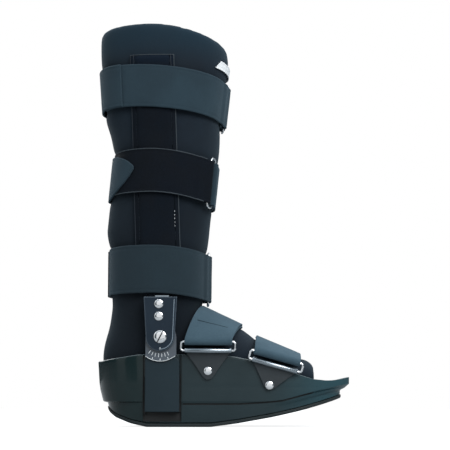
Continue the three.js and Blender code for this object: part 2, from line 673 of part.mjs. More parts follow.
// The half of a strap that starts on the near side and is turned back under itself at the ring.
function nearHalf(edges, startTurn, ringTurn) {
  const places = turnsBetween(startTurn, ringTurn - 24, 0);
  const fold = foldPlaces(-1).map((slide) => ({ slide }));
  const inside = { slide: [-RING_OPENING / 2 - 11, layerLift(0)] };
  const ramp = [[17, layerLift(1)], [8, layerLift(1) + 0.5]].map(([back, lift]) => ({
    slide: [-RING_OPENING / 2 - back, lift],
  }));
  return strapRibbon(edges, [...places, ...ramp, ...fold, inside], ringTurn);
}

// The long half: it comes from the far side, passes through the ring and runs back over itself.
function longHalf(edges, anchorTurn, ringTurn, endTurn, rampTurn, tongue = []) {
  const inner = turnsBetween(anchorTurn, ringTurn + 14, 0);
  const fold = foldPlaces(1).reverse().map((slide) => ({ slide }));
  const ramp = [{ slide: [RING_OPENING / 2 + 8, layerLift(1) + 0.5] }];
  const lapped = turnsBetween(ringTurn + 22, anchorTurn + 12, 1);
  const free = turnsBetween(anchorTurn + 22, rampTurn, 0);
  const end = turnsBetween(rampTurn + 10, endTurn, 1);
  const tip = tongue.map((row) => ({ ...row, layer: 1 }));
  return strapRibbon(edges, [...inner, ...fold, ...ramp, ...lapped, ...free, ...end, ...tip], ringTurn);
}

function legRingPiece(edges, ringTurn) {
  const corners = edges.map((z) => strapPoint(legSection(z), turnOf(ringTurn), barLift));
  const mid = corners[0].clone().add(corners[1]).multiplyScalar(0.5);
  const long = corners[1].clone().sub(corners[0]);
  const halfLong = long.length() / 2 + 2 * WIRE_RADIUS + 0.4;
  long.normalize();
  const section = legSection((edges[0] + edges[1]) / 2);
  const ahead = strapPoint(section, turnOf(ringTurn) + 0.05, barLift);
  const behind = strapPoint(section, turnOf(ringTurn) - 0.05, barLift);
  const short = ahead.sub(behind).normalize();
  short.addScaledVector(long, -short.dot(long)).normalize();
  const flat = long.clone().cross(short).normalize();
  return wireLoop(ringLine(mid, long, short, halfLong, RING_OPENING / 2), flat, WIRE_RADIUS);
}

// The three leg straps, in turns from the front, negative on the near side. edges: place in the list of
// strap edges, lowest first. start: where the near half begins. anchor: where the long half begins, on the
// far side. ramp: where it rises over the near half. end: where it ends. tongue: the narrowing end, with the
// shares of the strap's breadth that its lower and upper edges keep.
const LEG_STRAPS = [
  {
    near: "top_strap_near", far: "top_strap_far", ring: "top_ring", nearColour: "webbing", edges: 2,
    start: -160, anchor: 70, ringTurn: 10, ramp: 170, end: 234,
  },
  {
    near: "middle_band", far: "middle_strap", ring: "middle_ring", nearColour: "pile", edges: 1,
    start: -188, anchor: 40, ringTurn: -28, ramp: 145, end: 215,
    tongue: [
      { turn: 222, low: 0.03, high: 0.97 },
      { turn: 229, low: 0.11, high: 0.92 },
      { turn: 236, low: 0.24, high: 0.84 },
      { turn: 241, low: 0.39, high: 0.7 },
      { turn: 243.5, low: 0.53, high: 0.63 },
    ],
  },
  {
    near: "lower_strap_near", far: "lower_strap_far", ring: "lower_ring", nearColour: "webbing", edges: 0,
    start: -196, anchor: 70, ringTurn: 4, ramp: 150, end: 176,
  },
];


function makeLegStraps() {
  for (const spec of LEG_STRAPS) {
    const edges = strapEdges[spec.edges];
    addPiece(spec.near, nearHalf(edges, spec.start, spec.ringTurn), spec.nearColour);
    const far = longHalf(edges, spec.anchor, spec.ringTurn, spec.end, spec.ramp, spec.tongue);
    addPiece(spec.far, far, "webbing");
    addPiece(spec.ring, legRingPiece(edges, spec.ringTurn), "metal");
  }
}

// Foot shell: heel cup, side walls, posts and toe bumper in one moulding
function outlineSolid(points, depth, y) {
  const shape = new THREE.Shape(points.map(([x, z]) => new THREE.Vector2(x, z)));
  const plate = new THREE.ExtrudeGeometry(shape, { depth, bevelEnabled: false });
  plate.rotateX(Math.PI / 2);
  plate.translate(0, y + depth, 0);
  return toSolid(plate);
}

// Outline of a plate with a round lower end about the pivot, as [x, z] points.
function roundFoot(radius, back, front, top, halfTop) {
  const steps = 12;
  const arc = Array.from({ length: steps + 1 }, (_, i) => {
    const turn = Math.PI * (1 + i / steps);
    const x = THREE.MathUtils.clamp(radius * Math.cos(turn), -back, front);
    return [x, PIVOT_HEIGHT + radius * Math.sin(turn)];
  });
  return [...arc, [halfTop, top], [-halfTop, top]];
}

function blockSolid(x0, x1, y0, y1, z0, z1) {
  const box = new THREE.BoxGeometry(x1 - x0, y1 - y0, z1 - z0);
  box.translate((x0 + x1) / 2, (y0 + y1) / 2, (z0 + z1) / 2);
  return toSolid(box);
}

function pinSolid(x, z, radius, y0, y1) {
  const pin = new THREE.CylinderGeometry(radius, radius, y1 - y0, 10);
  pin.translate(x, (y0 + y1) / 2, z);
  return toSolid(pin);
}

const soleShell = (x) => rockerAt(x) + OUTSOLE + GAP;

// A block across one side of the boot, between two distances from its middle plane.
function sideBlock(side, x0, x1, near, far, z0, z1) {
  const [y0, y1] = [side * near, side * far].sort((a, b) => a - b);
  return blockSolid(x0, x1, y0, y1, z0, z1);
}

// A flat plate across one side of the boot, from an [x, z] outline.
function sidePlate(outline, side, near, thick) {
  return outlineSolid(outline, thick, Math.min(side * near, side * (near + thick)));
}

function sidePin(side, x, z, near, far) {
  const [y0, y1] = [side * near, side * far].sort((a, b) => a - b);
  return pinSolid(x, z, SHANK_RADIUS + GAP, y0, y1);
}

// The post on one side, and the open lines round it.
function withPost(shell, side) {
  const past = postFace + 5;
  const [back, front] = [-POST_BACK - POST_GROOVE, POST_FRONT + POST_GROOVE];
  const lineFoot = 0.6 * POST_FOOT;
  const block = (x0, x1, z0, z1) => sideBlock(side, x0, x1, postBack, postFace, z0, z1);
  let body = shell.add(block(-POST_BACK, POST_FRONT, POST_FOOT, POST_SHOULDER));
  body = body.add(block(-COVER_RADIUS, COVER_RADIUS, POST_SHOULDER - 1, PIVOT_HEIGHT));
  body = body.add(sidePlate(roundPost(PIVOT_HEIGHT + POST_BACK), side, postBack, postFace - postBack));
  for (const x of [back, POST_FRONT]) {
    const floor = shellHalfAt(x, SHELL_SIDE_TOP / 2) - 2;
    body = body.subtract(sideBlock(side, x, x + POST_GROOVE, floor, past, lineFoot, SHELL_SIDE_TOP + 5));
  }
  const under = sideBlock(side, back, front, shellHalfAt(0, POST_FOOT) - 2, past, lineFoot, POST_FOOT);
  body = body.subtract(under);
  return body.subtract(sidePin(side, 0, PIVOT_HEIGHT, postFace - 3.2, past));
}

function makeShell() {
  const outside = toSolid(loft(SHELL_ROWS.map((row) => shellRing(row, 0))));
  const insideRings = SHELL_ROWS.filter((_, i) => i !== 1).map((row) => shellRing(row, SHELL_WALL));
  const above = insideRings[insideRings.length - 1].map((p) => p.clone().setZ(p.z * 1.3));
  const inside = toSolid(loft([...insideRings, above]));
  const profile = sideSlab(mergedRows(WALL_EDGE, ROCKER), soleShell, wallEdgeAt);
  const room = sideSlab(mergedRows(BED, WALL_EDGE), bedAt, () => 2 * SHELL_SIDE_TOP);
  let shell = withPost(withPost(outside.intersect(profile), -1), 1).subtract(inside.intersect(room));
  const seamStart = { along: (POST_FRONT + POST_GROOVE + 1) / TOE_REACH };
  const seamRows = [seamStart, ...BED.filter((row) => row.along > 0)];
  const seam = sideSlab(seamRows, bedAt, (x) => bedAt(x) + SEAM_HEIGHT);
  const core = toSolid(loft(SHELL_ROWS.map((row) => shellRing(row, SEAM_DEPTH))));
  shell = shell.subtract(seam.subtract(core));
  for (const spec of FOOT_STRAPS) {
    const spots = footRivets(spec);
    shell = shell.subtract(rivetHoleAt(spots.near)).subtract(rivetHoleAt(spots.far));
  }
  return toGeometry(shell);
}

// The post's round head, as [x, z] points.
function roundPost(top) {
  const radius = top - PIVOT_HEIGHT;
  const steps = 8;
  return Array.from({ length: steps + 1 }, (_, i) => {
    const turn = (Math.PI * i) / steps;
    return [COVER_RADIUS * Math.cos(turn), PIVOT_HEIGHT - 1 + radius * Math.sin(turn)];
  });
}

// Stations of two side-view tables together.
function mergedRows(first, second) {
  const along = [...first, ...second].map((row) => row.along).sort((a, b) => a - b);
  const apart = along.filter((value, i) => i === 0 || value - along[i - 1] > 0.012);
  return apart.map((value) => ({ along: value }));
}

function makeOutsole() {
  const grown = SHELL_ROWS.slice(0, 4).map((row) => {
    const eased = { ...row, heel: row.heel + 0.01, toe: row.toe - 0.02 };
    return shellRing(eased, -OUTSOLE_LIP);
  });
  const outside = toSolid(loft(grown));
  const strip = sideSlab(ROCKER, rockerAt, (x) => rockerAt(x) + OUTSOLE);
  return toGeometry(outside.intersect(strip));
}

// Rivet or screw: a domed head on a plain shank, pointing along y. side is -1 near and 1 far.
function headedPin(x, z, face, side, headRadius, shankLength) {
  const profile = [
    [0, HEAD_THICK],
    [headRadius * 0.62, HEAD_THICK],
    [headRadius, HEAD_THICK * 0.35],
    [headRadius, GAP],
    [SHANK_RADIUS, GAP],
    [SHANK_RADIUS, -shankLength],
    [0, -shankLength],
  ].map(([r, h]) => new THREE.Vector2(r, h));
  const pin = new THREE.LatheGeometry(profile, 10);
  if (side < 0) pin.rotateX(Math.PI);
  pin.translate(x, side * face, z);
  const solid = toSolid(pin);
  return solid.volume() < 0 ? flipped(pin) : pin;
}

function flipped(geometry) {
  const index = Array.from(geometry.index.array);
  for (let i = 0; i < index.length; i += 3) [index[i + 1], index[i + 2]] = [index[i + 2], index[i + 1]];
  geometry.setIndex(index);
  return geometry;
}

function makeHinge(side, label) {
  const dialTop = PIVOT_HEIGHT + DIAL_RADIUS * 0.5;
  const dialOutline = roundFoot(DIAL_RADIUS, POST_BACK - 0.4, POST_FRONT - 3.1, dialTop, POST_BACK - 2);
  const dial = sidePlate(dialOutline, side, postFace + GAP, DIAL_THICK);
  const bore = sidePin(side, 0, PIVOT_HEIGHT, postFace - 1, coverFace + 1);
  addPiece(`dial_plate_${label}`, toGeometry(dial.subtract(bore)), "dial");

  const outline = roundFoot(COVER_RADIUS, COVER_RADIUS, COVER_RADIUS, COVER_TOP, COVER_HALF_TOP);
  const blockFoot = PIVOT_HEIGHT + POST_BACK + 2;
  const half = coverHalfAt(blockFoot);
  const block = sideBlock(side, -half, half, stayFace, coverBack + 1, blockFoot, COVER_TOP);
  let cover = sidePlate(outline, side, coverBack, COVER_THICK).add(block).subtract(bore);
  HINGE_RIVETS.forEach((rise, i) => {
    const z = PIVOT_HEIGHT + rise;
    cover = cover.subtract(sidePin(side, -HINGE_RIVET_BACK, z, stayFace + 1.5, coverFace + 1));
    const shank = coverFace - stayFace - 2;
    const rivet = headedPin(-HINGE_RIVET_BACK, z, coverFace, side, HINGE_RIVET_RADIUS, shank);
    addPiece(`hinge_rivet_${label}_${i + 1}`, rivet, "metal");
  });
  addPiece(`hinge_cover_${label}`, toGeometry(cover), "cover");

  const screwLength = coverFace - postFace + 2.8;
  const screw = toSolid(headedPin(0, PIVOT_HEIGHT, coverFace, side, SCREW_RADIUS, screwLength));
  const [low, high] = [PIVOT_HEIGHT - SCREW_SLOT / 2, PIVOT_HEIGHT + SCREW_SLOT / 2];
  const slotFloor = coverFace + HEAD_THICK / 2;
  const slot = sideBlock(side, -SCREW_RADIUS, SCREW_RADIUS, slotFloor, slotFloor + 3, low, high);
  addPiece(`pivot_screw_${label}`, toGeometry(screw.subtract(slot)), "metal");
}

// Foot straps, with their rings and tabs. at: where the ring's middle lies, as a share of the liner's foot.
// crest: the same for the strap's middle on top of the foot, and crestWidth the share of the webbing that is
// seen there from the side. rise: the shell's edge up to the ring's lower bar, as a share of the shell's
// height. slope: how the bar drops to the toe. tab, rivet: the tab's depth and the bar down to its rivet, as
// shares of the webbing's width.
const FOOT_STRAPS = [
  {
    name: "instep", at: 0.305, crest: 0.398, crestWidth: 0.86, rise: 0.063, slope: -0.008, tab: 0.6,
    rivet: 0.422,
  },
  {
    name: "toe", at: 0.7286, crest: 0.762, crestWidth: 0.94, rise: 0.0229, slope: -0.275, tab: 0.52,
    rivet: 0.426,
  },
];

const rollRadius = WIRE_RADIUS + GAP + ROLL_WALL;
const ringFace = SHELL_HALF_WIDTH + rollRadius + 1.2;
const footLift = (layer) => GAP + FOOT_STRAP_SEAT + WEB / 2 + layer * (WEB + GAP);

function linerTopAt(x) {
  return INSTEP_TOP - (INSTEP_TOP - FOREFOOT_TOP) * readTable(FOOT_ROWS, "along", "top", x / LINER_TOE);
}

// The frame of a foot strap's ring: its middle, and the ways along its bar and up across it.
function ringFrame(spec) {
  const long = new THREE.Vector3(1, 0, spec.slope).normalize();
  const up = new THREE.Vector3(-spec.slope, 0, 1).normalize();
  const x = spec.at * LINER_TOE;
  const bar = new THREE.Vector3(x, -ringFace, wallEdgeAt(x) + spec.rise * SHELL_SIDE_TOP);
  return { long, up, bar };
}

// Arch of one edge of a foot strap. share runs from the crest, 0, to the foot of the arch, 1.
function archPoint(crestX, foot, share, lift) {
  const crestZ = linerTopAt(crestX) + lift;
  const x = crestX + (foot.x - crestX) * share ** 1.9;
  const z = crestZ + (foot.z - crestZ) * share ** (foot.y < 0 ? 3.1 : 3.5);
  return new THREE.Vector3(x, foot.y * share, z);
}

// Where the webbing lies flat on the far wall of the shell: the middle of its thickness.
function farWebbing(spec) {
  const spots = [-1, -0.5, 0, 0.5, 1].map((place) => spec.at * LINER_TOE + (place * FOOT_STRAP_WIDTH) / 2);
  return Math.max(...spots.map((x) => shellHalfAt(x, wallEdgeAt(x)))) + GAP + WEB / 2;
}

// One edge of a foot strap, from its loose end over the ring's upper bar to its riveted end. place is -1 for
// the rear edge and 1 for the front one.
function footStrapEdge(spec, place) {
  const { long, up, bar } = ringFrame(spec);
  const upper = bar.clone().addScaledVector(up, FOOT_RING_OPENING);
  upper.addScaledVector(long, (place * FOOT_STRAP_WIDTH) / 2);
  const crestX = spec.crest * LINER_TOE + (place * spec.crestWidth * FOOT_STRAP_WIDTH) / 2;
  const offBar = (side, rise) => {
    const beside = upper.clone().add(new THREE.Vector3(0, side * foldRadius, 0));
    return beside.addScaledVector(up, rise);
  };
  const shares = [0, 0.2, 0.38, 0.54, 0.68, 0.8, 0.9, 1];
  const loose = [0.28, 0.14].map((s) => archPoint(crestX, offBar(1, 2).setY(ringFace), s, footLift(1)));
  const outer = shares.map((s) => archPoint(crestX, offBar(-1, 2.5), s, footLift(1)));
  const fold = Array.from({ length: 6 }, (_, k) => {
    const turn = (Math.PI * k) / 5;
    const around = new THREE.Vector3(0, -foldRadius * Math.cos(turn), 0);
    return upper.clone().add(around).addScaledVector(up, -foldRadius * Math.sin(turn));
  });
  const inner = [...shares].reverse().map((s) => archPoint(crestX, offBar(1, 2.5), s, footLift(0)));
  const wallX = upper.x;
  const edge = wallEdgeAt(wallX);
  const farFoot = new THREE.Vector3(wallX, farWebbing(spec), edge + 4);
  const far = shares.slice(1).map((s) => archPoint(crestX, farFoot, s, footLift(0)));
  const down = [0.3, 1].map((s) => edge + 4 - s * (FOOT_STRAP_TAIL + 4));
  const tail = down.map((z) => new THREE.Vector3(wallX, farWebbing(spec), z));
  return [...loose, ...outer, ...fold, ...inner, ...far, ...tail];
}

// Outline of a tab. down: share of its depth. wide: share of the webbing's width.
const TAB_ROWS = [
  { down: 0.02, wide: 0.98 },
  { down: 0.33, wide: 0.69 },
  { down: 0.66, wide: 0.41 },
  { down: 0.86, wide: 0.25 },
  { down: 0.96, wide: 0.14 },
  { down: 1.0, wide: 0.05 },
];

function makeTab(spec, rivetHole) {
  const { long, up, bar } = ringFrame(spec);
  const columns = 5;
  const place = (i, j) => {
    const row = TAB_ROWS[i];
    const point = bar.clone().addScaledVector(up, -row.down * spec.tab * FOOT_STRAP_WIDTH);
    point.addScaledVector(long, FOOT_STRAP_WIDTH * row.wide * (j / (columns - 1) - 0.5));
    const towardsRoll = 0.8 * Math.max(0, 1 - 3 * row.down);
    point.y = -(shellHalfAt(point.x, point.z) + GAP + TAB_SEAT + TAB_THICK / 2 + towardsRoll);
    return [point, new THREE.Vector3(0, -1, 0)];
  };
  const along = new THREE.Quaternion().setFromUnitVectors(new THREE.Vector3(0, 1, 0), long);
  const pinAlong = (radius, length) => {
    const pin = new THREE.CylinderGeometry(radius, radius, length, 12);
    return toSolid(pin.applyQuaternion(along).translate(bar.x, bar.y, bar.z));
  };
  const plate = toSolid(sheet(TAB_ROWS.length, columns, place, TAB_THICK));
  const roll = pinAlong(rollRadius, FOOT_STRAP_WIDTH - 1);
  const tab = plate.add(roll).subtract(pinAlong(WIRE_RADIUS + GAP, FOOT_STRAP_WIDTH + 4));
  return toGeometry(tab.subtract(rivetHole));
}

// Where the rivets of a foot strap go: through the tab on the near wall, and the webbing on the far one.
function footRivets(spec) {
  const { up, bar } = ringFrame(spec);
  const near = bar.clone().addScaledVector(up, -spec.rivet * FOOT_STRAP_WIDTH);
  const farX = bar.x;
  const farZ = wallEdgeAt(farX) - 0.5 * FOOT_STRAP_TAIL;
  return {
    near: { x: near.x, z: near.z, face: shellHalfAt(near.x, near.z) + GAP + TAB_SEAT + TAB_THICK, side: -1 },
    far: { x: farX, z: farZ, face: farWebbing(spec) + WEB / 2, side: 1 },
  };
}

function rivetHoleAt(spot) {
  return sidePin(spot.side, spot.x, spot.z, spot.face - RIVET_SHANK - GAP, spot.face + 2);
}

function makeFootFastening(spec) {
  const spots = footRivets(spec);
  const strap = toSolid(ribbon(footStrapEdge(spec, -1), footStrapEdge(spec, 1)));
  addPiece(`${spec.name}_strap`, toGeometry(strap.subtract(rivetHoleAt(spots.far))), "footWebbing");
  const { long, up, bar } = ringFrame(spec);
  const mid = bar.clone().addScaledVector(up, FOOT_RING_OPENING / 2);
  const halfLong = FOOT_STRAP_WIDTH / 2 + 2 * WIRE_RADIUS + 0.4;
  const loop = ringLine(mid, long, up, halfLong, FOOT_RING_OPENING / 2);
  addPiece(`${spec.name}_ring`, wireLoop(loop, new THREE.Vector3(0, 1, 0), WIRE_RADIUS), "metal");
  addPiece(`${spec.name}_tab`, makeTab(spec, rivetHoleAt(spots.near)), "tab");
  const rivet = (spot) => headedPin(spot.x, spot.z, spot.face, spot.side, TAB_RIVET_RADIUS, RIVET_SHANK);
  addPiece(`${spec.name}_tab_rivet`, rivet(spots.near), "metal");
  addPiece(`${spec.name}_strap_rivet`, rivet(spots.far), "metal");
}

// Blank label sewn round the front of the liner
function makeLabel() {
  const levels = [LABEL_MIDDLE - LABEL_HEIGHT / 2, LABEL_MIDDLE + LABEL_HEIGHT / 2];
  const columns = 12;
  const place = (i, j) => {
    const from = LABEL_START_TURNS[i];
    const turn = turnOf(from + (LABEL_END_TURN - from) * (j / (columns - 1)));
    const section = legSection(levels[i]);
    const point = legPoint(section, turn, GAP + 0.5 + LABEL_THICK / 2, 0);
    const out = new THREE.Vector3(Math.cos(turn), Math.sin(turn), 0);
    return [point, out];
  };
  return sheet(2, columns, place, LABEL_THICK);
}

makeLegStraps();
addPiece("liner", makeLiner(), "foam");
addPiece("upright_near", makeStay(-1), "sleeve");
addPiece("upright_far", makeStay(1), "sleeve");
makeHinge(-1, "near");
makeHinge(1, "far");
FOOT_STRAPS.forEach(makeFootFastening);
addPiece("front_label", makeLabel(), "label");
addPiece("foot_shell", makeShell(), "shell");
addPiece("outsole", makeOutsole(), "rubber");

export default boot;
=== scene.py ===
# %% [markdown]
# A tall medical walking boot: a padded sock in a moulded foot shell, held by webbing straps between two
# hinged uprights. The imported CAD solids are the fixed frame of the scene. Each soft solid is replaced by a
# finer piece of the same shape, and the hard pieces get rounded edges and small marks. Lengths in this file
# are millimetres, as on a maker's drawing, and become metres only when a mesh is made.

# %% Load the frame
import math

import bmesh
import bpy
import numpy as np
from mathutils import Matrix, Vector, noise


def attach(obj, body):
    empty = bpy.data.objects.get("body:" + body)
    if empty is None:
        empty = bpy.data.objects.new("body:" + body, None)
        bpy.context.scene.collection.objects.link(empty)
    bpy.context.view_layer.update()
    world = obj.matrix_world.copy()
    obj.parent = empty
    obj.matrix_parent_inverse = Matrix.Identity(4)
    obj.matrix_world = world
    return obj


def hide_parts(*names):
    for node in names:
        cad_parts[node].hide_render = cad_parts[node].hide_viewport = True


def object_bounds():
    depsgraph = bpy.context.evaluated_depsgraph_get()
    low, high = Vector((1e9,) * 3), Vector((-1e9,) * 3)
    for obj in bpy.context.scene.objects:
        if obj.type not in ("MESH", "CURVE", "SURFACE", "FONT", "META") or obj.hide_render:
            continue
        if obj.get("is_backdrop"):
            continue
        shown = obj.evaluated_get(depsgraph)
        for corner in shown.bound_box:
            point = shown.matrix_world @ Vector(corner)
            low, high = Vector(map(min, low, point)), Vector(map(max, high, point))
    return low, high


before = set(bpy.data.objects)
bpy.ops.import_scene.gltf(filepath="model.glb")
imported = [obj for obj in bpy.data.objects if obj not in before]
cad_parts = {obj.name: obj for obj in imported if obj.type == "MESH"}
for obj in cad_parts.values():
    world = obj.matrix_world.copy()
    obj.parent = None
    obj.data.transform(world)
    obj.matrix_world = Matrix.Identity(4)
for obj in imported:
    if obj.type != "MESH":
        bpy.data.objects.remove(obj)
cad_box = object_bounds()
MM = 0.001
print("solids in the frame:", len(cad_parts))

# %% [markdown]
# Every piece here is a skin through rows of points. A grid of points gives quads by counting, so one small
# function serves straps, wire, sleeves and the shell. Quads shade and bake more evenly than triangles do.
# Shapes that change along the boot are kept as small tables, which are read between their rows.

# %% Skins from rows of points
def grid_faces(rows, columns):
    """Quads between rows of points. Each row is joined to its own start."""
    faces = []
    for row in range(rows - 1):
        low, high = row * columns, (row + 1) * columns
        for here in range(columns):
            after = (here + 1) % columns
            faces.append((low + here, low + after, high + after, high + here))
    return faces


def swept(rings, closed=False):
    """A skin along rings of points, with a cap at both ends or joined to its own start."""
    rings = np.asarray(rings, float)
    if closed:
        rings = np.concatenate([rings, rings[:1]])
    rows, columns = rings.shape[:2]
    faces = grid_faces(rows, columns)
    if closed:
        count = (rows - 1) * columns
        return rings[:-1].reshape(-1, 3), [tuple(v % count for v in face) for face in faces]
    first, last = tuple(range(columns)), tuple(range((rows - 1) * columns, rows * columns))
    return rings.reshape(-1, 3), faces + [first[::-1], last]


def unit(vectors):
    vectors = np.asarray(vectors, float)
    return vectors / np.maximum(np.linalg.norm(vectors, axis=-1, keepdims=True), 1e-9)


def read_table(table, place):
    """Every column of a table at a place between its rows. The first column holds the places."""
    return [np.interp(place, table[:, 0], column) for column in table.T[1:]]


def lengths_along(line):
    """Length of a line from its start to each of its points."""
    return np.concatenate([[0], np.cumsum(np.linalg.norm(np.diff(line, axis=0), axis=1))])


def points_at(line, along, places):
    """Points of a line at given lengths along it."""
    return np.stack([np.interp(places, along, line[:, k]) for k in range(3)], 1)


def tube(path, radius, sides=10, closed=False):
    """A round bar along a line of points. Its section is carried along without twist."""
    path = np.asarray(path, float)
    ahead = np.roll(path, -1, 0) - np.roll(path, 1, 0)
    if not closed:
        ahead[0], ahead[-1] = path[1] - path[0], path[-1] - path[-2]
    ahead = unit(ahead)
    across = np.cross(ahead[0], (0, 0, 1) if abs(ahead[0][2]) < 0.9 else (1, 0, 0))
    radius = np.broadcast_to(np.asarray(radius, float), len(path))
    turns = np.linspace(0, 2 * np.pi, sides, endpoint=False)
    rings = []
    for point, way, size in zip(path, ahead, radius):
        across = unit(across - np.dot(across, way) * way)
        up = np.cross(way, across)
        rings.append(point + size * (np.outer(np.cos(turns), across) + np.outer(np.sin(turns), up)))
    return swept(rings, closed)


def joined(parts):
    points, faces, start = [], [], 0
    for part_points, part_faces in parts:
        points.append(np.asarray(part_points, float))
        faces += [tuple(v + start for v in face) for face in part_faces]
        start += len(part_points)
    return np.concatenate(points), faces


print("a bar of five points has", len(tube([(0, 0, z) for z in range(5)], 1)[1]), "faces")

# %% [markdown]
# A piece is a mesh that rides on the frame and hides the solids that it stands for. Doing both in one
# function means that no piece is forgotten. Normals are turned outwards, because bump and sheen depend on
# them.

# %% A piece on the frame
EASED_ANGLE = 40


def outward_mesh(name, skin):
    """A mesh of a skin in millimetres, with its normals turned outwards."""
    points, faces = skin
    mesh = bpy.data.meshes.new(name)
    mesh.from_pydata((np.asarray(points) * MM).tolist(), [], faces)
    shape = bmesh.new()
    shape.from_mesh(mesh)
    bmesh.ops.recalc_face_normals(shape, faces=shape.faces)
    shape.to_mesh(mesh)
    shape.free()
    return mesh


def placed(name, data):
    made = bpy.data.objects.new(name, data)
    bpy.context.collection.objects.link(made)
    return made


def piece(name, skin, material, replaces=(), smooth=40, weave=None):
    mesh = outward_mesh(name, skin)
    if weave is not None:
        corners = np.zeros(len(mesh.loops), np.int32)
        mesh.loops.foreach_get("vertex_index", corners)
        layer = mesh.uv_layers.new(name="weave")
        layer.data.foreach_set("uv", (np.asarray(weave)[corners] * MM).astype(np.float32).ravel())
    mesh.shade_smooth()
    mesh.set_sharp_from_angle(angle=math.radians(smooth))
    mesh.materials.append(material)
    made = placed(name, mesh)
    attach(made, "root")
    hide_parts(*replaces)
    print(f"{name}: {len(mesh.polygons)} faces")
    return made


def rounded(made, width, segments=2):
    """Eased edges, as a mould or a cutter leaves them."""
    bevel = made.modifiers.new("eased_edges", "BEVEL")
    bevel.width, bevel.segments, bevel.limit_method = width * MM, segments, "ANGLE"
    bevel.angle_limit = math.radians(EASED_ANGLE)
    bevel.harden_normals = True


print("edges sharper than", EASED_ANGLE, "degrees are eased")

# %% [markdown]
# Colours are written as screen values from 0 to 255, because that is how they are read off a photograph,
# and a shader wants linear light. The conversion is the standard curve of a screen.

# %% Colours
def linear(level):
    share = level / 255
    return share / 12.92 if share <= 0.04045 else ((share + 0.055) / 1.055) ** 2.4


def tint(red, green, blue):
    return (linear(red), linear(green), linear(blue), 1.0)


print("mid grey in linear light:", round(tint(128, 128, 128)[0], 3))

# %% [markdown]
# Shader effects that several finishes share are node groups with named sockets. A group is built once, and
# each material gives it its own values. The shader itself stays in the material, where an export can read
# it.

# %% Node helpers
def new_group(name, inputs, outputs):
    group = bpy.data.node_groups.new(name, "ShaderNodeTree")
    for label, kind, value in inputs:
        group.interface.new_socket(name=label, in_out="INPUT", socket_type=kind).default_value = value
    for label, kind in outputs:
        group.interface.new_socket(name=label, in_out="OUTPUT", socket_type=kind)
    return group, group.nodes.new("NodeGroupInput"), group.nodes.new("NodeGroupOutput")


def add(tree, kind, inputs=(), **settings):
    """A node with its settings, its sockets fed by a value or by another node's output."""
    node = tree.nodes.new(kind)
    for key, value in settings.items():
        setattr(node, key, value)
    for socket, value in dict(inputs).items():
        if isinstance(value, bpy.types.NodeSocket):
            tree.links.new(value, node.inputs[socket])
        else:
            node.inputs[socket].default_value = value
    return node


def hand_out(group, result, values):
    """Links values to the sockets of a group's output that have their names."""
    for label, value in values.items():
        group.links.new(value, result.inputs[label])


def speckle(tree, where, scale, detail=2.0, roughness=0.5):
    """Noise from 0 to 1 at a place."""
    values = {"Vector": where, "Scale": scale, "Detail": detail, "Roughness": roughness}
    return add(tree, "ShaderNodeTexNoise", values).outputs[0]


def maths(tree, operation, first, second=0.0):
    return add(tree, "ShaderNodeMath", {0: first, 1: second}, operation=operation).outputs[0]


def mixed(tree, share, first, second):
    node = add(tree, "ShaderNodeMix", data_type="RGBA")
    for socket, value in ((node.inputs[0], share), (node.inputs[6], first), (node.inputs[7], second)):
        if isinstance(value, bpy.types.NodeSocket):
            tree.links.new(value, socket)
        else:
            socket.default_value = value
    return node.outputs[2]


def ramp(tree, value, low, high, out_low=0.0, out_high=1.0):
    node = add(tree, "ShaderNodeMapRange", {0: value, 1: low, 2: high, 3: out_low, 4: out_high})
    node.interpolation_type = "SMOOTHSTEP"
    return node.outputs[0]


print("node groups so far:", len(bpy.data.node_groups))

# %% [markdown]
# Brushed cloth has two scales: a fine nap that catches light, and broad patches where the pile lies another
# way. Noise in object space gives both without a seam, so the cloth looks the same however the mesh was
# cut.

# %% Nap of brushed cloth
def make_nap():
    group, given, result = new_group(
        "cloth_nap",
        [("Colour", "NodeSocketColor", tint(60, 60, 60)),
         ("Pile Colour", "NodeSocketColor", tint(90, 90, 90)),
         ("Nap Scale", "NodeSocketFloat", 900.0), ("Patch", "NodeSocketFloat", 0.4)],
        [("Colour", "NodeSocketColor"), ("Height", "NodeSocketFloat"), ("Roughness", "NodeSocketFloat")],
    )
    where = add(group, "ShaderNodeTexCoord").outputs["Object"]
    nap = speckle(group, where, given.outputs["Nap Scale"], 3.0, 0.7)
    patch = speckle(group, where, 28.0, 3.0, 0.55)
    fleck = maths(group, "MULTIPLY", ramp(group, nap, 0.42, 0.68), 0.35)
    worn = maths(group, "MULTIPLY", ramp(group, patch, 0.35, 0.7), given.outputs["Patch"])
    share = maths(group, "ADD", fleck, worn)
    hand_out(group, result, {
        "Colour": mixed(group, share, given.outputs["Colour"], given.outputs["Pile Colour"]),
        "Height": nap,
        "Roughness": ramp(group, patch, 0.3, 0.75, 0.82, 0.95),
    })
    return group


cloth_nap = make_nap()
print("group:", cloth_nap.name, [s.name for s in cloth_nap.interface.items_tree])

# %% [markdown]
# Webbing is woven in ribs. The straps carry a flat map in metres, along and across the cloth, so a rib
# keeps its real spacing round every fold. Two sine waves, one along and one across, make the over and under
# of the yarns.

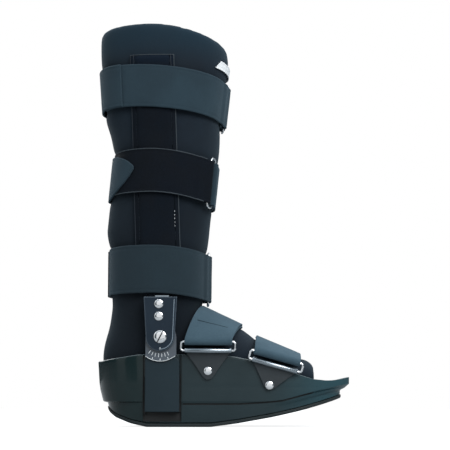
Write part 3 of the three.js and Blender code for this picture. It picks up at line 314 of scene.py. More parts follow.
# %% Ribs of woven webbing
def make_ribs():
    group, given, result = new_group(
        "webbing_ribs",
        [("Along", "NodeSocketFloat", 700.0), ("Across", "NodeSocketFloat", 600.0)],
        [("Height", "NodeSocketFloat")],
    )
    flat = add(group, "ShaderNodeSeparateXYZ", {0: add(group, "ShaderNodeUVMap", uv_map="weave").outputs[0]})
    waves = []
    for place, label in zip(flat.outputs, ("Along", "Across")):
        pitch = maths(group, "MULTIPLY", given.outputs[label], 2 * math.pi)
        waves.append(maths(group, "SINE", maths(group, "MULTIPLY", place, pitch)))
    over = maths(group, "MULTIPLY", *waves)
    height = maths(group, "ADD", maths(group, "MULTIPLY", over, 0.5), 0.5)
    hand_out(group, result, {"Height": height})
    return group


webbing_ribs = make_ribs()
print("group:", webbing_ribs.name)

# %% [markdown]
# Moulded plastic is smooth where the mould was polished and slightly pebbled where it wasn't. One group
# gives a fine grain, faint rub marks and a colour that drifts a little, and each plastic chooses how strong
# they are.

# %% Grain of moulded plastic
def make_grain():
    group, given, result = new_group(
        "moulded_grain",
        [("Colour", "NodeSocketColor", tint(50, 60, 60)),
         ("Rubbed Colour", "NodeSocketColor", tint(80, 90, 90)),
         ("Grain Scale", "NodeSocketFloat", 700.0), ("Smooth", "NodeSocketFloat", 0.2),
         ("Rough", "NodeSocketFloat", 0.45)],
        [("Colour", "NodeSocketColor"), ("Height", "NodeSocketFloat"), ("Roughness", "NodeSocketFloat")],
    )
    where = add(group, "ShaderNodeTexCoord").outputs["Object"]
    drift = speckle(group, where, 14.0, 4.0)
    long_way = add(group, "ShaderNodeMapping", {"Vector": where, "Scale": (60.0, 60.0, 900.0)})
    rub = speckle(group, long_way.outputs[0], 1.0)
    marks = maths(group, "MULTIPLY", ramp(group, rub, 0.62, 0.8), 0.25)
    share = maths(group, "ADD", marks, ramp(group, drift, 0.3, 0.8, 0.0, 0.4))
    spread = maths(group, "SUBTRACT", given.outputs["Rough"], given.outputs["Smooth"])
    rougher = maths(group, "MULTIPLY", spread, ramp(group, drift, 0.3, 0.7))
    hand_out(group, result, {
        "Colour": mixed(group, share, given.outputs["Colour"], given.outputs["Rubbed Colour"]),
        "Height": speckle(group, where, given.outputs["Grain Scale"]),
        "Roughness": maths(group, "ADD", given.outputs["Smooth"], rougher),
    })
    return group


moulded_grain = make_grain()
print("group:", moulded_grain.name)

# %% [markdown]
# Each finish is a Principled shader fed by one group. Values that are the same all over, such as sheen,
# stay on the shader's own sockets. Bump is kept shallow, since real relief comes from the meshes.

# %% Finishes
def finish(name, group, values, bump, bump_height, constants, rib_height=None):
    material = bpy.data.materials.new(name)
    material.use_nodes = True
    tree = material.node_tree
    shader = tree.nodes["Principled BSDF"]
    effect = add(tree, "ShaderNodeGroup", node_tree=group)
    for label, value in values.items():
        effect.inputs[label].default_value = value
    height = effect.outputs["Height"]
    if rib_height is not None:
        ribs = add(tree, "ShaderNodeGroup", node_tree=webbing_ribs)
        height = maths(tree, "ADD", height, maths(tree, "MULTIPLY", ribs.outputs["Height"], rib_height))
    relief = add(tree, "ShaderNodeBump", {"Height": height, "Strength": bump, "Distance": bump_height * MM})
    tree.links.new(effect.outputs["Colour"], shader.inputs["Base Color"])
    tree.links.new(effect.outputs["Roughness"], shader.inputs["Roughness"])
    tree.links.new(relief.outputs[0], shader.inputs["Normal"])
    for label, value in dict(constants).items():
        shader.inputs[label].default_value = value
    return material


def cloth(name, colour, pile, nap=900.0, patch=0.3, sheen=0.3, bump=0.5, ribs=None):
    values = {"Colour": tint(*colour), "Pile Colour": tint(*pile), "Nap Scale": nap, "Patch": patch}
    constants = {
        "Sheen Weight": sheen, "Sheen Roughness": 0.6, "Sheen Tint": tint(150, 175, 190),
        "Specular IOR Level": 0.15,
    }
    return finish(name, cloth_nap, values, bump, 0.35, constants, ribs)


def plastic(name, colour, rubbed, smooth, rough, grain=700.0, bump=0.1, constants=()):
    values = {
        "Colour": tint(*colour), "Rubbed Colour": tint(*rubbed), "Grain Scale": grain, "Smooth": smooth,
        "Rough": rough,
    }
    return finish(name, moulded_grain, values, bump, 0.15, constants)


def metal(name, colour, rubbed, smooth, rough):
    return plastic(name, colour, rubbed, smooth, rough, bump=0.05, constants={"Metallic": 1.0})


DULL = {"Specular IOR Level": 0.2}
foam_cloth = cloth("foam_cloth", (21, 29, 38), (31, 42, 52), nap=1100.0, patch=0.4, sheen=0.15)
leg_webbing = cloth("leg_webbing", (36, 51, 60), (50, 68, 78), nap=1300.0, patch=0.35, sheen=0.2, ribs=0.5)
foot_webbing = cloth("foot_webbing", (54, 74, 86), (78, 100, 112), 1300.0, 0.35, sheen=0.25, ribs=0.5)
pile_band = cloth("pile_band", (7, 12, 19), (15, 22, 32), nap=700.0, patch=0.35, sheen=0.03, bump=0.8)
sleeve_cloth = cloth("sleeve_cloth", (6, 12, 20), (12, 21, 31), nap=700.0, patch=0.4, sheen=0.03, bump=0.8)
piping_cloth = cloth("piping_cloth", (52, 58, 63), (74, 80, 86), nap=2000.0, sheen=0.2)
label_cloth = cloth("label_cloth", (246, 250, 252), (252, 254, 255), nap=1500.0, sheen=0.1, bump=0.3)
dark_thread = cloth("dark_thread", (26, 31, 38), (44, 51, 60), nap=3000.0, sheen=0.2)
rear_piping = cloth("rear_piping", (34, 38, 45), (52, 57, 64), nap=2000.0, sheen=0.2)
glint_thread = cloth("glint_thread", (225, 230, 235), (250, 250, 250), nap=3000.0, sheen=0.2)
hinge_plastic = plastic("hinge_plastic", (24, 37, 49), (41, 58, 73), 0.36, 0.5, bump=0.15, constants=DULL)
dial_plastic = plastic("dial_plastic", (74, 82, 91), (100, 108, 116), 0.25, 0.4)
hinge_bevel_highlight = plastic("hinge_bevel_highlight", (58, 70, 81), (80, 92, 104), 0.25, 0.4)
hinge_rib_highlight = plastic("hinge_rib_highlight", (112, 126, 138), (140, 154, 165), 0.25, 0.4)
shell_shadow = plastic("shell_shadow", (5, 9, 11), (12, 18, 20), 0.5, 0.65)
shell_lip_highlight = plastic("shell_lip_highlight", (88, 102, 106), (120, 134, 138), 0.2, 0.35)
dial_white = plastic("dial_white", (232, 238, 240), (250, 250, 250), 0.4, 0.5)
tab_plastic = plastic("tab_plastic", (25, 34, 39), (43, 52, 58), 0.42, 0.56, bump=0.2)
sole_rubber = plastic("sole_rubber", (22, 32, 34), (40, 52, 56), 0.6, 0.8, grain=1200.0, bump=0.35)
bright_metal = metal("bright_metal", (238, 240, 243), (250, 251, 252), 0.07, 0.18)
slot_shade = plastic("slot_shade", (46, 50, 54), (70, 74, 78), 0.4, 0.6)
roll_metal = metal("roll_metal", (150, 160, 168), (190, 198, 205), 0.14, 0.3)
ring_wire = metal("ring_wire", (228, 231, 235), (250, 251, 252), 0.1, 0.25)
print("finishes:", len(bpy.data.materials))

# %% [markdown]
# Some finishes change from one end of the boot to the other. A mask is a share from 0 to 1 between two
# places on the object's own X or Z axis. It lives in a group, so that each material only states where its
# change lies.

# %% Masks along the boot
def make_mask(name, axis):
    group, given, result = new_group(
        name,
        [("Start", "NodeSocketFloat", 0.0), ("End", "NodeSocketFloat", 1.0)],
        [("Mask", "NodeSocketFloat")],
    )
    where = add(group, "ShaderNodeSeparateXYZ", {0: add(group, "ShaderNodeTexCoord").outputs["Object"]})
    values = {0: where.outputs[axis], 1: given.outputs["Start"], 2: given.outputs["End"]}
    hand_out(group, result, {"Mask": add(group, "ShaderNodeMapRange", values).outputs[0]})
    return group


def share_along(material, group, places, shares):
    """A share that goes from one value to another between two places, given in millimetres."""
    values = {"Start": places[0] * MM, "End": places[1] * MM}
    node = add(material.node_tree, "ShaderNodeGroup", values, node_tree=group)
    return ramp(material.node_tree, node.outputs["Mask"], 0.0, 1.0, *shares)


def tone_and_shade(material, share, colour):
    """Mixes a colour into a finish, by a share that changes along the boot. It carries real tones and painted
    shade.
    """
    base = material.node_tree.nodes["Principled BSDF"].inputs["Base Color"]
    toned_and_shaded = mixed(material.node_tree, share, base.links[0].from_socket, tint(*colour))
    material.node_tree.links.new(toned_and_shaded, base)


length_mask = make_mask("length_mask", 0)
height_mask = make_mask("height_mask", 2)
print("masks:", length_mask.name, height_mask.name)

# %% [markdown]
# The foam's cloth is darkest at the ankle, where painted shade is mixed in: its share falls with height and
# stops in front of the leg, so the toes stay paler. Near the rim the cloth turns paler and bluer. The sleeves
# are bluer above the top strap, and the lowest leg strap, which sits by the shell, has painted shade that
# makes it a little greyer than the other two.

# %% Painted shade and tones along the leg
# Painted shade: the foam is darker towards the ankle, except in front of the leg.
painted_ankle_shade = maths(
    foam_cloth.node_tree, "MULTIPLY",
    share_along(foam_cloth, height_mask, (110, 370), (0.75, 0.0)),
    share_along(foam_cloth, length_mask, (45, 75), (1.0, 0.0)),
)
tone_and_shade(foam_cloth, painted_ankle_shade, (8, 12, 18))
tone_and_shade(foam_cloth, share_along(foam_cloth, height_mask, (385, 425), (0.0, 0.45)), (26, 52, 66))
tone_and_shade(sleeve_cloth, share_along(sleeve_cloth, height_mask, (375, 395), (0.0, 0.7)), (3, 20, 36))
# Painted shade: the leg webbing is darker low down, on the lowest strap.
tone_and_shade(leg_webbing, share_along(leg_webbing, height_mask, (190, 240), (0.5, 0.0)), (26, 34, 38))
print("dyed by height:", foam_cloth.name, sleeve_cloth.name, leg_webbing.name)

# %% [markdown]
# The shell is one moulding with two finishes: the heel cup is polished, and the sides towards the toe are
# satin and bluer. The same mask drives its roughness and coat. Its two posts are a shade darker and duller.

# %% Finish of the shell
HEEL_TO_SIDE, SIDE_TO_TOE = (-16, 22), (100, 200)


def make_shell_finish():
    material = plastic("shell_plastic", (29, 43, 47), (47, 63, 68), 0.34, 0.46, grain=500.0, bump=0.12)
    tree = material.node_tree
    shader = tree.nodes["Principled BSDF"]
    tone_and_shade(material, share_along(material, length_mask, HEEL_TO_SIDE, (0.6, 0.0)), (12, 30, 29))
    tone_and_shade(material, share_along(material, length_mask, SIDE_TO_TOE, (0.0, 0.8)), (44, 78, 87))
    rough = shader.inputs["Roughness"].links[0].from_socket
    polished = maths(tree, "MULTIPLY", rough, share_along(material, length_mask, HEEL_TO_SIDE, (0.45, 1.0)))
    tree.links.new(polished, shader.inputs["Roughness"])
    coat = share_along(material, length_mask, HEEL_TO_SIDE, (0.15, 0.05))
    tree.links.new(coat, shader.inputs["Coat Weight"])
    shader.inputs["Coat Roughness"].default_value = 0.06
    shader.inputs["Specular IOR Level"].default_value = 0.25
    return material


shell_plastic = make_shell_finish()
post_plastic = plastic("post_plastic", (27, 41, 48), (40, 56, 64), 0.38, 0.5, 500.0, 0.12, DULL)
print("shell finish has", len(shell_plastic.node_tree.nodes), "nodes")

# %% [markdown]
# The leg of the sock is a stack of rounded ovals. Its table says, for a share of the height above the ankle
# pivot, how far the foam reaches to the back, the front and the side, and how its sections slope. These are
# the same sections as in the solids, so the finer pieces lie exactly where the solids lie.

# %% Sections of the leg
BOOT_HEIGHT, PIVOT_HEIGHT, FOOTBED, GAP = 432.5, 93.7, 23.0, 0.35
CALF, CALF_SIDE, LEG_ROUND = 71.5, 61.5, 2.3
DIP_START, DIP_POWER = 0.14, 1.6
LEG_ROWS = np.array([
    # up, back, front, side, lean, dip
    (-1.0, 0.73, 0.6, 0.74, 0, 0), (-0.86, 0.86, 0.66, 0.8, 0, 0), (-0.46, 0.9, 0.68, 0.81, 0, 0),
    (-0.29, 0.915, 0.68, 0.82, 0, 0), (-0.11, 0.9, 0.66, 0.836, 0, 1), (0.04, 0.815, 0.6, 0.84, 0, 3),
    (0.1, 0.775, 0.53, 0.845, 0, 5), (0.12, 0.765, 0.6, 0.85, 0, 8), (0.139, 0.836, 0.665, 0.86, 0, 10),
    (0.285, 0.828, 0.665, 0.88, 0, 10), (0.343, 0.874, 0.7, 0.89, 0, 12),
    (0.426, 0.835, 0.735, 0.905, 0.4, 14), (0.458, 0.815, 0.765, 0.91, 0.5, 15),
    (0.586, 0.75, 0.825, 0.93, 1, 13), (0.61, 0.785, 0.85, 0.935, 1.5, 11),
    (0.656, 0.83, 0.87, 0.94, 3, 7), (0.706, 0.92, 0.875, 0.955, 4.5, 4),
    (0.742, 0.948, 0.915, 0.96, 4.7, 3.5), (0.868, 0.985, 0.97, 0.985, 4.7, 3.5),
    (0.916, 1.0, 1.005, 0.99, 3.5, 8), (0.963, 1.003, 1.005, 0.997, 1.5, 14), (1.0, 1.0, 0.985, 1.0, 0, 18),
])
COVER_TOP = 135.7
TOP_STRAP_WIDTH, MIDDLE_STRAP_WIDTH, LOWER_STRAP_WIDTH = 46, 46, 51
BELOW_RIM, ABOVE_COVER, MIDDLE_SHARE = 71, 4.4, 0.537
TOP_STRAP_MIDDLE = BOOT_HEIGHT - BELOW_RIM
LOWER_STRAP_MIDDLE = COVER_TOP + ABOVE_COVER + LOWER_STRAP_WIDTH / 2
MIDDLE_STRAP_MIDDLE = LOWER_STRAP_MIDDLE + MIDDLE_SHARE * (TOP_STRAP_MIDDLE - LOWER_STRAP_MIDDLE)
STRAP_EDGES = {
    level: (middle - width / 2, middle + width / 2)
    for level, middle, width in (
        ("top", TOP_STRAP_MIDDLE, TOP_STRAP_WIDTH),
        ("middle", MIDDLE_STRAP_MIDDLE, MIDDLE_STRAP_WIDTH),
        ("lower", LOWER_STRAP_MIDDLE, LOWER_STRAP_WIDTH),
    )
}
SQUEEZE, SHOULDER = 2.6, 5


def pressed_at(z):
    away = min(max(low - z, z - high, 0) for low, high in STRAP_EDGES.values())
    return SQUEEZE * min(max(1 - away / SHOULDER, 0), 1)


def leg_section(z):
    above, below = BOOT_HEIGHT - PIVOT_HEIGHT, PIVOT_HEIGHT - FOOTBED - GAP
    up = (z - PIVOT_HEIGHT) / (above if z > PIVOT_HEIGHT else below)
    back, front, side, lean, dip = read_table(LEG_ROWS, up)
    pressed = pressed_at(z)
    return {"z": z, "back": CALF * back - pressed, "front": CALF * front - pressed, "side": CALF_SIDE * side,
            "lean": lean, "dip": dip}


def dip_share(x):
    """How far a place has sunk towards the front of its section, where the whole dip is reached."""
    return np.clip((x + DIP_START * CALF) / ((1 + DIP_START) * CALF), 0, None) ** DIP_POWER


def leg_point(section, turn, lift, side_lift=0.0):
    c, s = math.cos(turn), math.sin(turn)
    power = 2 / LEG_ROUND
    x = ((section["front"] if c > 0 else section["back"]) + lift) * math.copysign(abs(c) ** power, c)
    y = (section["side"] + lift + side_lift) * math.copysign(abs(s) ** power, s)
    return np.array((x, y, section["z"] - section["lean"] * x / CALF - section["dip"] * dip_share(x)))


print("calf is", round(2 * leg_section(400)["side"], 1), "mm across near the rim")

# %% [markdown]
# The sock is soft foam with a cloth face. Its solid is faceted, so a copy is remeshed to an even skin of
# small quads and relaxed, which rounds the facets and the rims as foam would. The ridge of the rim is
# evened, low swells are added by noise, and the foam is drawn in a little under each strap, so that nothing
# pokes through the webbing.

# %% The padded sock
LINER_VOXEL = 2.8
LINER_RELAX = 24
RIM_PARTS, RIM_MIDDLE, RIM_DEPTH = 110, 25, 14
SWELL, SWELL_SPREAD = 0.25, 60
UNDER_STRAP, UNDER_STRAP_EDGE = 0.45, 4


def soft_copy(node):
    """Points and faces, in millimetres, of an even and relaxed copy of a solid."""
    trial = placed("trial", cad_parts[node].data.copy())
    remesh = trial.modifiers.new("even", "REMESH")
    remesh.mode, remesh.voxel_size = "VOXEL", LINER_VOXEL * MM
    ease = trial.modifiers.new("relax", "SMOOTH")
    ease.factor, ease.iterations = 0.5, LINER_RELAX
    made = trial.evaluated_get(bpy.context.evaluated_depsgraph_get()).to_mesh()
    points = np.zeros(len(made.vertices) * 3)
    made.vertices.foreach_get("co", points)
    normals = np.zeros(len(made.vertices) * 3)
    made.vertices.foreach_get("normal", normals)
    faces = [tuple(polygon.vertices) for polygon in made.polygons]
    bpy.data.objects.remove(trial)
    return points.reshape(-1, 3) / MM, normals.reshape(-1, 3), faces


def noise_at(points, spread):
    """Smooth noise from -1 to 1 at each point. It changes over about one spread."""
    flat = [noise.noise(Vector(p / spread)) for p in points.reshape(-1, 3)]
    return np.array(flat).reshape(points.shape[:-1])


def leg_level(points):
    """Height of the section that a point on the leg belongs to."""
    level = points[:, 2].copy()
    for _ in range(3):
        up = (level - PIVOT_HEIGHT) / (BOOT_HEIGHT - PIVOT_HEIGHT)
        lean, dip = read_table(LEG_ROWS, up)[-2:]
        level = points[:, 2] + lean * points[:, 0] / CALF + dip * dip_share(points[:, 0])
    return level


def level_rim(points):
    """Evens the ridge of the rim, which the remesh leaves a little wavy."""
    level = leg_level(points)
    share = (np.arctan2(points[:, 1], points[:, 0] + RIM_MIDDLE) / (2 * np.pi)) % 1 * RIM_PARTS
    part = share.astype(int) % RIM_PARTS
    ridge = np.array([level[part == k].max() for k in range(RIM_PARTS)])
    round_once = np.arange(-1, RIM_PARTS + 1)
    here = np.interp(share, round_once + 0.5, ridge[round_once % RIM_PARTS])
    points[:, 2] += (ridge.mean() - here) * np.clip((level - here + RIM_DEPTH) / RIM_DEPTH, 0, 1)
    print("the rim was uneven by", round(np.ptp(ridge), 2), "mm")


def make_sock():
    points, normals, faces = soft_copy("liner")
    level_rim(points)
    points += normals * (SWELL * noise_at(points, SWELL_SPREAD))[:, None]
    level = leg_level(points)
    beyond = [np.maximum(low - level, level - high) for low, high in STRAP_EDGES.values()]
    away = np.maximum(np.min(beyond, axis=0), 0)
    under = UNDER_STRAP * np.clip(1 - away / UNDER_STRAP_EDGE, 0, 1)
    return points - normals * under[:, None], faces


sock = piece("padded_sock", make_sock(), foam_cloth, ["liner"], smooth=180)

# %% [markdown]
# A strap is one band of webbing with two edge lines. Each line runs round the leg at its own height, rises
# where it laps over another layer, and turns round the bar of a wire ring. Modelled directly it keeps its
# width and its thickness everywhere, which a cloth simulation of a tight band would not. Numbers added to a
# turn are degrees, and those added to the bar's place are millimetres. They keep the band clear of the ring.

# %% Paths of the leg straps
WEB, WIRE_RADIUS, RING_OPENING, FOLD_ROOM, STAY_THICK = 2.2, 1.5, 10.4, 0.6, 4
STAY_ROOM = STAY_THICK + 2 * GAP + 0.9
FOLD_RADIUS = WIRE_RADIUS + FOLD_ROOM + WEB / 2
RING_TURNS = {"top": 10, "middle": -28, "lower": 4}


def layer_lift(layer):
    return GAP + 0.15 + WEB / 2 + layer * (WEB + GAP)


BAR_LIFT = layer_lift(0) + FOLD_RADIUS


def strap_point(section, turn, lift):
    return leg_point(section, turn, lift, STAY_ROOM)


def round_leg(first, last, layer, step=2.5):
    """Places from one turn to another, in degrees from the front. A place is a turn, a slide and a lift."""
    count = max(2, round(abs(last - first) / step) + 1)
    return [(turn, 0.0, layer_lift(layer)) for turn in np.linspace(first, last, count)]


def round_bar(ring_turn, side):
    """Places round one bar of a ring, from the outside to the inside."""
    places = []
    for k in range(13):
        turn = math.pi / 2 - math.pi * k / 12
        slide = side * (RING_OPENING / 2 - FOLD_RADIUS * math.cos(turn))
        places.append((ring_turn, slide, BAR_LIFT + FOLD_RADIUS * math.sin(turn)))
    return places


def near_path(level, start):
    """From the rear, round the near side and the near bar of the ring, to an end under the band itself."""
    ring, bar = RING_TURNS[level], -RING_OPENING / 2
    rise = [(ring, bar - 17, layer_lift(1)), (ring, bar - 8, layer_lift(1) + 0.5)]
    return round_leg(start, ring - 24, 0) + rise + round_bar(ring, -1) + [(ring, bar - 11, layer_lift(0))]


def far_path(level, anchor, rise, end):
    """From the far side round the far bar of the ring, and back over itself and then over the near half."""
    ring = RING_TURNS[level]
    inner = round_leg(anchor, ring + 14, 0) + round_bar(ring, 1)[::-1]
    over = [(ring, RING_OPENING / 2 + 8, layer_lift(1) + 0.5)] + round_leg(ring + 22, anchor + 12, 1)
    return inner + over + round_leg(anchor + 22, rise, 0) + round_leg(rise + 10, end, 1)


def speed_at(section, here):
    """Millimetres round a section for each radian of turn."""
    return np.linalg.norm(strap_point(section, here + 0.05, 0) - strap_point(section, here - 0.05, 0)) / 0.1


def leg_line(z, level, path):
    """A path on the section of one height, as a line of points."""
    section = leg_section(z)
    speed = speed_at(section, math.radians(RING_TURNS[level]))
    turned = [(math.radians(turn) + slide / speed, lift) for turn, slide, lift in path]
    return np.array([strap_point(section, turn, lift) for turn, lift in turned])


def strap_lines(level, path):
    """The lower and the upper edge of a strap."""
    return [leg_line(z, level, path) for z in STRAP_EDGES[level]]


print("a fold round a bar has a radius of", FOLD_RADIUS, "mm")

# %% [markdown]
# The band's section is flat with round edges and a shallow furrow inside each edge, where the selvedge
# yarns pull tighter. The two edge lines are eased and cut into even steps, and the section is set between
# them at each step.

# %% A band of webbing
BAND_STEP, SELVEDGE, BAND_SPREAD = 1.7, 3.2, 17
CLOTH_OF_SLOT = {
    "leg_webbing": leg_webbing,
    "foot_webbing": foot_webbing,
    "pile_band": pile_band,
    "label_cloth": label_cloth,
}


def eased(line, times):
    for _ in range(times):
        line[1:-1] = 0.25 * line[:-2] + 0.5 * line[1:-1] + 0.25 * line[2:]
    return line


def even_lines(low, high):
    along = lengths_along((low + high) / 2)
    places = np.linspace(0, along[-1], round(along[-1] / BAND_STEP) + 1)
    low, high = (eased(points_at(line, along, places), 3) for line in (low, high))
    return low, high, places


def band_section(width, thick):
    """Distances from the lower edge and half thicknesses there."""
    edge = np.array([0, 0.12, 0.45, 1.0]) * thick / 2
    rise = thick / 2 * np.sqrt(1 - (1 - edge / (thick / 2)) ** 2) + 0.12 * (1 - edge / (thick / 2))
    furrow = np.array([SELVEDGE - 0.8, SELVEDGE, SELVEDGE + 0.8])
    inner = np.linspace(SELVEDGE + 3, width - SELVEDGE - 3, 9)
    places = np.concatenate([edge, furrow, inner, width - furrow[::-1], width - edge[::-1]])
    half = np.full(len(places), thick / 2)
    half[:4], half[-4:] = rise, rise[::-1]
    half[5], half[-6] = half[5] - 0.16, half[-6] - 0.16
    return places, half


def band(low, high, thick, rough):
    """Skin and flat map of a band between two edge lines."""
    low, high, along = even_lines(low, high)
    middle = (low + high) / 2
    ahead = np.gradient(middle, axis=0)
    across = unit(high - low)
    out = unit(np.cross(ahead, across))
    width = np.linalg.norm(high - low, axis=1)
    usual = width.max()
    places, half = band_section(usual, thick)
    shares = places / usual
    skin = low[:, None] + (high - low)[:, None] * shares[None, :, None]
    lift = noise_at(skin, BAND_SPREAD) * rough
    upper = skin + out[:, None] * (half[None, :] + lift)[..., None]
    lower = skin - out[:, None] * (half[None, :] - lift)[..., None]
    rings = np.concatenate([upper, lower[:, ::-1]], axis=1)
    flat = np.stack(np.broadcast_arrays(along[:, None], np.concatenate([places, places[::-1]])[None]), -1)
    return swept(rings), flat.reshape(-1, 2), (usual, along[-1])


def webbing(name, node, lines, slot, thick=WEB, rough=0.12):
    """A band of cloth that stands for one solid, with the size of its flat cut."""
    skin, flat, (width, length) = band(*lines, thick, rough)
    made = piece(name, skin, CLOTH_OF_SLOT[slot], [node], smooth=50, weave=flat)
    print(f"   cut {width:.0f} by {length:.0f} mm")


print("a 46 mm band has", len(band_section(46, WEB)[0]), "points across")

# %% [markdown]
# Three straps go round the leg. Each has a near half that ends at the wire ring, and a long half that comes
# from the far side, passes through the ring and runs back over itself to the rear. The middle strap ends in
# a rounded tongue that lies on a dark pile band. A short table draws its two edges in towards the tip and
# lets it hang a little lower at the rear. The other turns are degrees from the front, where a half starts,
# rises over a layer or ends.

# %% The leg straps
BAND_START, TONGUE_END, TONGUE_FREE = -188, 241.5, -90
TONGUE = np.array([
    # turn, lower edge, upper edge, as shares of the breadth
    (150, 0, 1), (190, -0.12, 0.94), (205, -0.07, 0.91), (217, 0.05, 0.86), (229, 0.22, 0.78),
    (236, 0.36, 0.7), (240, 0.47, 0.63), (TONGUE_END, 0.53, 0.6),
])


def tongue_lines(path):
    """The edges of the middle strap, drawn in along its tongue."""
    turns = np.array([turn if slide == 0 else TONGUE_FREE for turn, slide, _ in path])
    low, high = strap_lines("middle", path)
    return [low + (high - low) * share[:, None] for share in read_table(TONGUE, turns)]


def strap(name, node, level, path, slot="leg_webbing"):
    webbing(name, node, strap_lines(level, path), slot)


strap("top_strap_front", "top_strap_near", "top", near_path("top", -160))
strap("top_strap_long", "top_strap_far", "top", far_path("top", 70, 170, 234))
strap("pile_band_near", "middle_band", "middle", near_path("middle", BAND_START), "pile_band")
tongue = tongue_lines(far_path("middle", 40, 145, TONGUE_END))
webbing("middle_strap_long", "middle_strap", tongue, "leg_webbing")
strap("lower_strap_front", "lower_strap_near", "lower", near_path("lower", -196))
strap("lower_strap_long", "lower_strap_far", "lower", far_path("lower", 70, 150, 176))

# %% [markdown]
# The dark band is bound with a thin cord of cloth along both edges, which shows as a fine light line. It is
# a bar along the band's own edge lines, stopped before the fold so that it ends on the flat stretch.

# %% Piping of the dark band
PIPING_RADIUS, PLACES_AT_FOLD = 0.55, 14


def band_piping():
    low, high, _ = even_lines(*strap_lines("middle", near_path("middle", BAND_START)[:-PLACES_AT_FOLD]))
    out = unit(np.cross(np.gradient(low, axis=0), high - low))
    return joined([tube(line + out * (WEB / 2), PIPING_RADIUS, 8) for line in (low, high)])


piece("pile_band_piping", band_piping(), piping_cloth, smooth=180)

# %% [markdown]
# A leg ring is one loop of round wire with two long bars. Its plane touches the leg, so its corners come
# from the same place on the strap's two edge sections. Rounded corners are quarter circles, as a bender
# leaves them.

# %% Wire rings of the leg straps
def ring_line(mid, long, short, half_long, half_short, steps=7):
    bend = half_short * 0.55
    points = []
    for sx, sy in ((1, 1), (-1, 1), (-1, -1), (1, -1)):
        for k in range(steps):
            turn = (k if sx * sy > 0 else steps - 1 - k) / (steps - 1) * math.pi / 2
            u = half_long - bend + bend * math.cos(turn)
            v = half_short - bend + bend * math.sin(turn)
            points.append(mid + long * sx * u + short * sy * v)
    return np.array(points)


WIRE_DRAWN, BAR_OVERHANG = 1.34, 2 * WIRE_RADIUS + 0.4


def wire_ring(name, node, line):
    piece(name, tube(line, WIRE_DRAWN, 12, closed=True), ring_wire, [node], smooth=180)


def leg_ring(level):
    here = math.radians(RING_TURNS[level])
    low, high = (strap_point(leg_section(z), here, BAR_LIFT) for z in STRAP_EDGES[level])
    middle = leg_section(sum(STRAP_EDGES[level]) / 2)
    short = strap_point(middle, here + 0.05, BAR_LIFT) - strap_point(middle, here - 0.05, BAR_LIFT)
    half_long = np.linalg.norm(high - low) / 2 + BAR_OVERHANG
    long = unit(high - low)
    short = unit(short - np.dot(short, long) * long)
    return ring_line((low + high) / 2, long, short, half_long, RING_OPENING / 2)


for level in STRAP_EDGES:
    wire_ring(f"{level}_wire_ring", f"{level}_ring", leg_ring(level))

# %% [markdown]
# The uprights are flat bars inside cloth sleeves. A sleeve is a pillow: thin where it is sewn at the edges
# and full between them, with a furrow along each line of stitches. It leans back with the leg, so its
# middle line moves to the rear with height.

# %% Sleeves of the uprights
STAY_FOOT, STAY_TOP, STAY_WIDTH, STAY_FOOT_WIDTH = 114.34, BOOT_HEIGHT - 34.5, 48, 31
STAY_LEAN, STAY_SEAT = 11, 0.65
STITCH_INSET = 5.0
SIDES = ((-1, "near"), (1, "far"))
PILLOW_RIPPLE, RIPPLE_SPREAD = 0.3, 14
PILLOW = ((0, 0.3), (0.015, 0.42), (0.05, 0.72), (0.09, 0.88), (0.104, 0.62), (0.118, 0.9), (0.2, 1.0))


def stay_middle(z):
    return -STAY_LEAN * (z - PIVOT_HEIGHT) / (STAY_TOP - PIVOT_HEIGHT)


def stay_width(z):
    neck = STRAP_EDGES["lower"][0] + 3
    return np.interp(z, [neck - 2, neck + 6], [STAY_FOOT_WIDTH, STAY_WIDTH])


def side_point(section, x, lift):
    reach = section["front"] if x > 0 else section["back"]
    share = min(1, abs(x) / (reach + lift))
    y = (section["side"] + lift) * (1 - share**LEG_ROUND) ** (1 / LEG_ROUND)
    return np.array((x, y, leg_point(section, math.pi / 2, lift)[2]))


def stay_line(share, side, lift=0.0, low=STAY_FOOT, high=STAY_TOP, step=3.0):
    """A line up the sleeve's face, at a share of its width from the rear edge."""
    lines = []
    for z in np.linspace(low, high, round((high - low) / step) + 1):
        point = side_point(leg_section(z), stay_middle(z) + (share - 0.5) * stay_width(z), STAY_SEAT + lift)
        lines.append(point * (1, side, 1))
    return np.array(lines)


def make_sleeve(side):
    half = [share for share, _ in PILLOW] + [0.3, 0.4]
    full = [size for _, size in PILLOW] + [1.0, 1.0]
    shares = np.array(half + [0.5] + [1 - s for s in half[::-1]])
    sizes = np.array(full + [1.0] + full[::-1]) * STAY_THICK
    inner = np.stack([stay_line(share, side) for share in shares], 1)
    outer = np.stack([stay_line(share, side, size) for share, size in zip(shares, sizes)], 1)
    ends = np.ones(len(outer))
    ends[0], ends[1], ends[-1], ends[-2] = 0.55, 0.92, 0.35, 0.85
    outer = inner + (outer - inner) * ends[:, None, None]
    ripple = unit(outer - inner) * (PILLOW_RIPPLE * noise_at(outer, RIPPLE_SPREAD))[..., None]
    outer[2:-2, 4:-4] += ripple[2:-2, 4:-4]
    return swept(np.concatenate([outer, inner[:, ::-1]], axis=1))


print("a sleeve is", round(stay_width(STAY_TOP), 1), "mm wide")
for side, label in SIDES:
    piece(f"sleeve_{label}", make_sleeve(side), sleeve_cloth, [f"upright_{label}"], smooth=60)
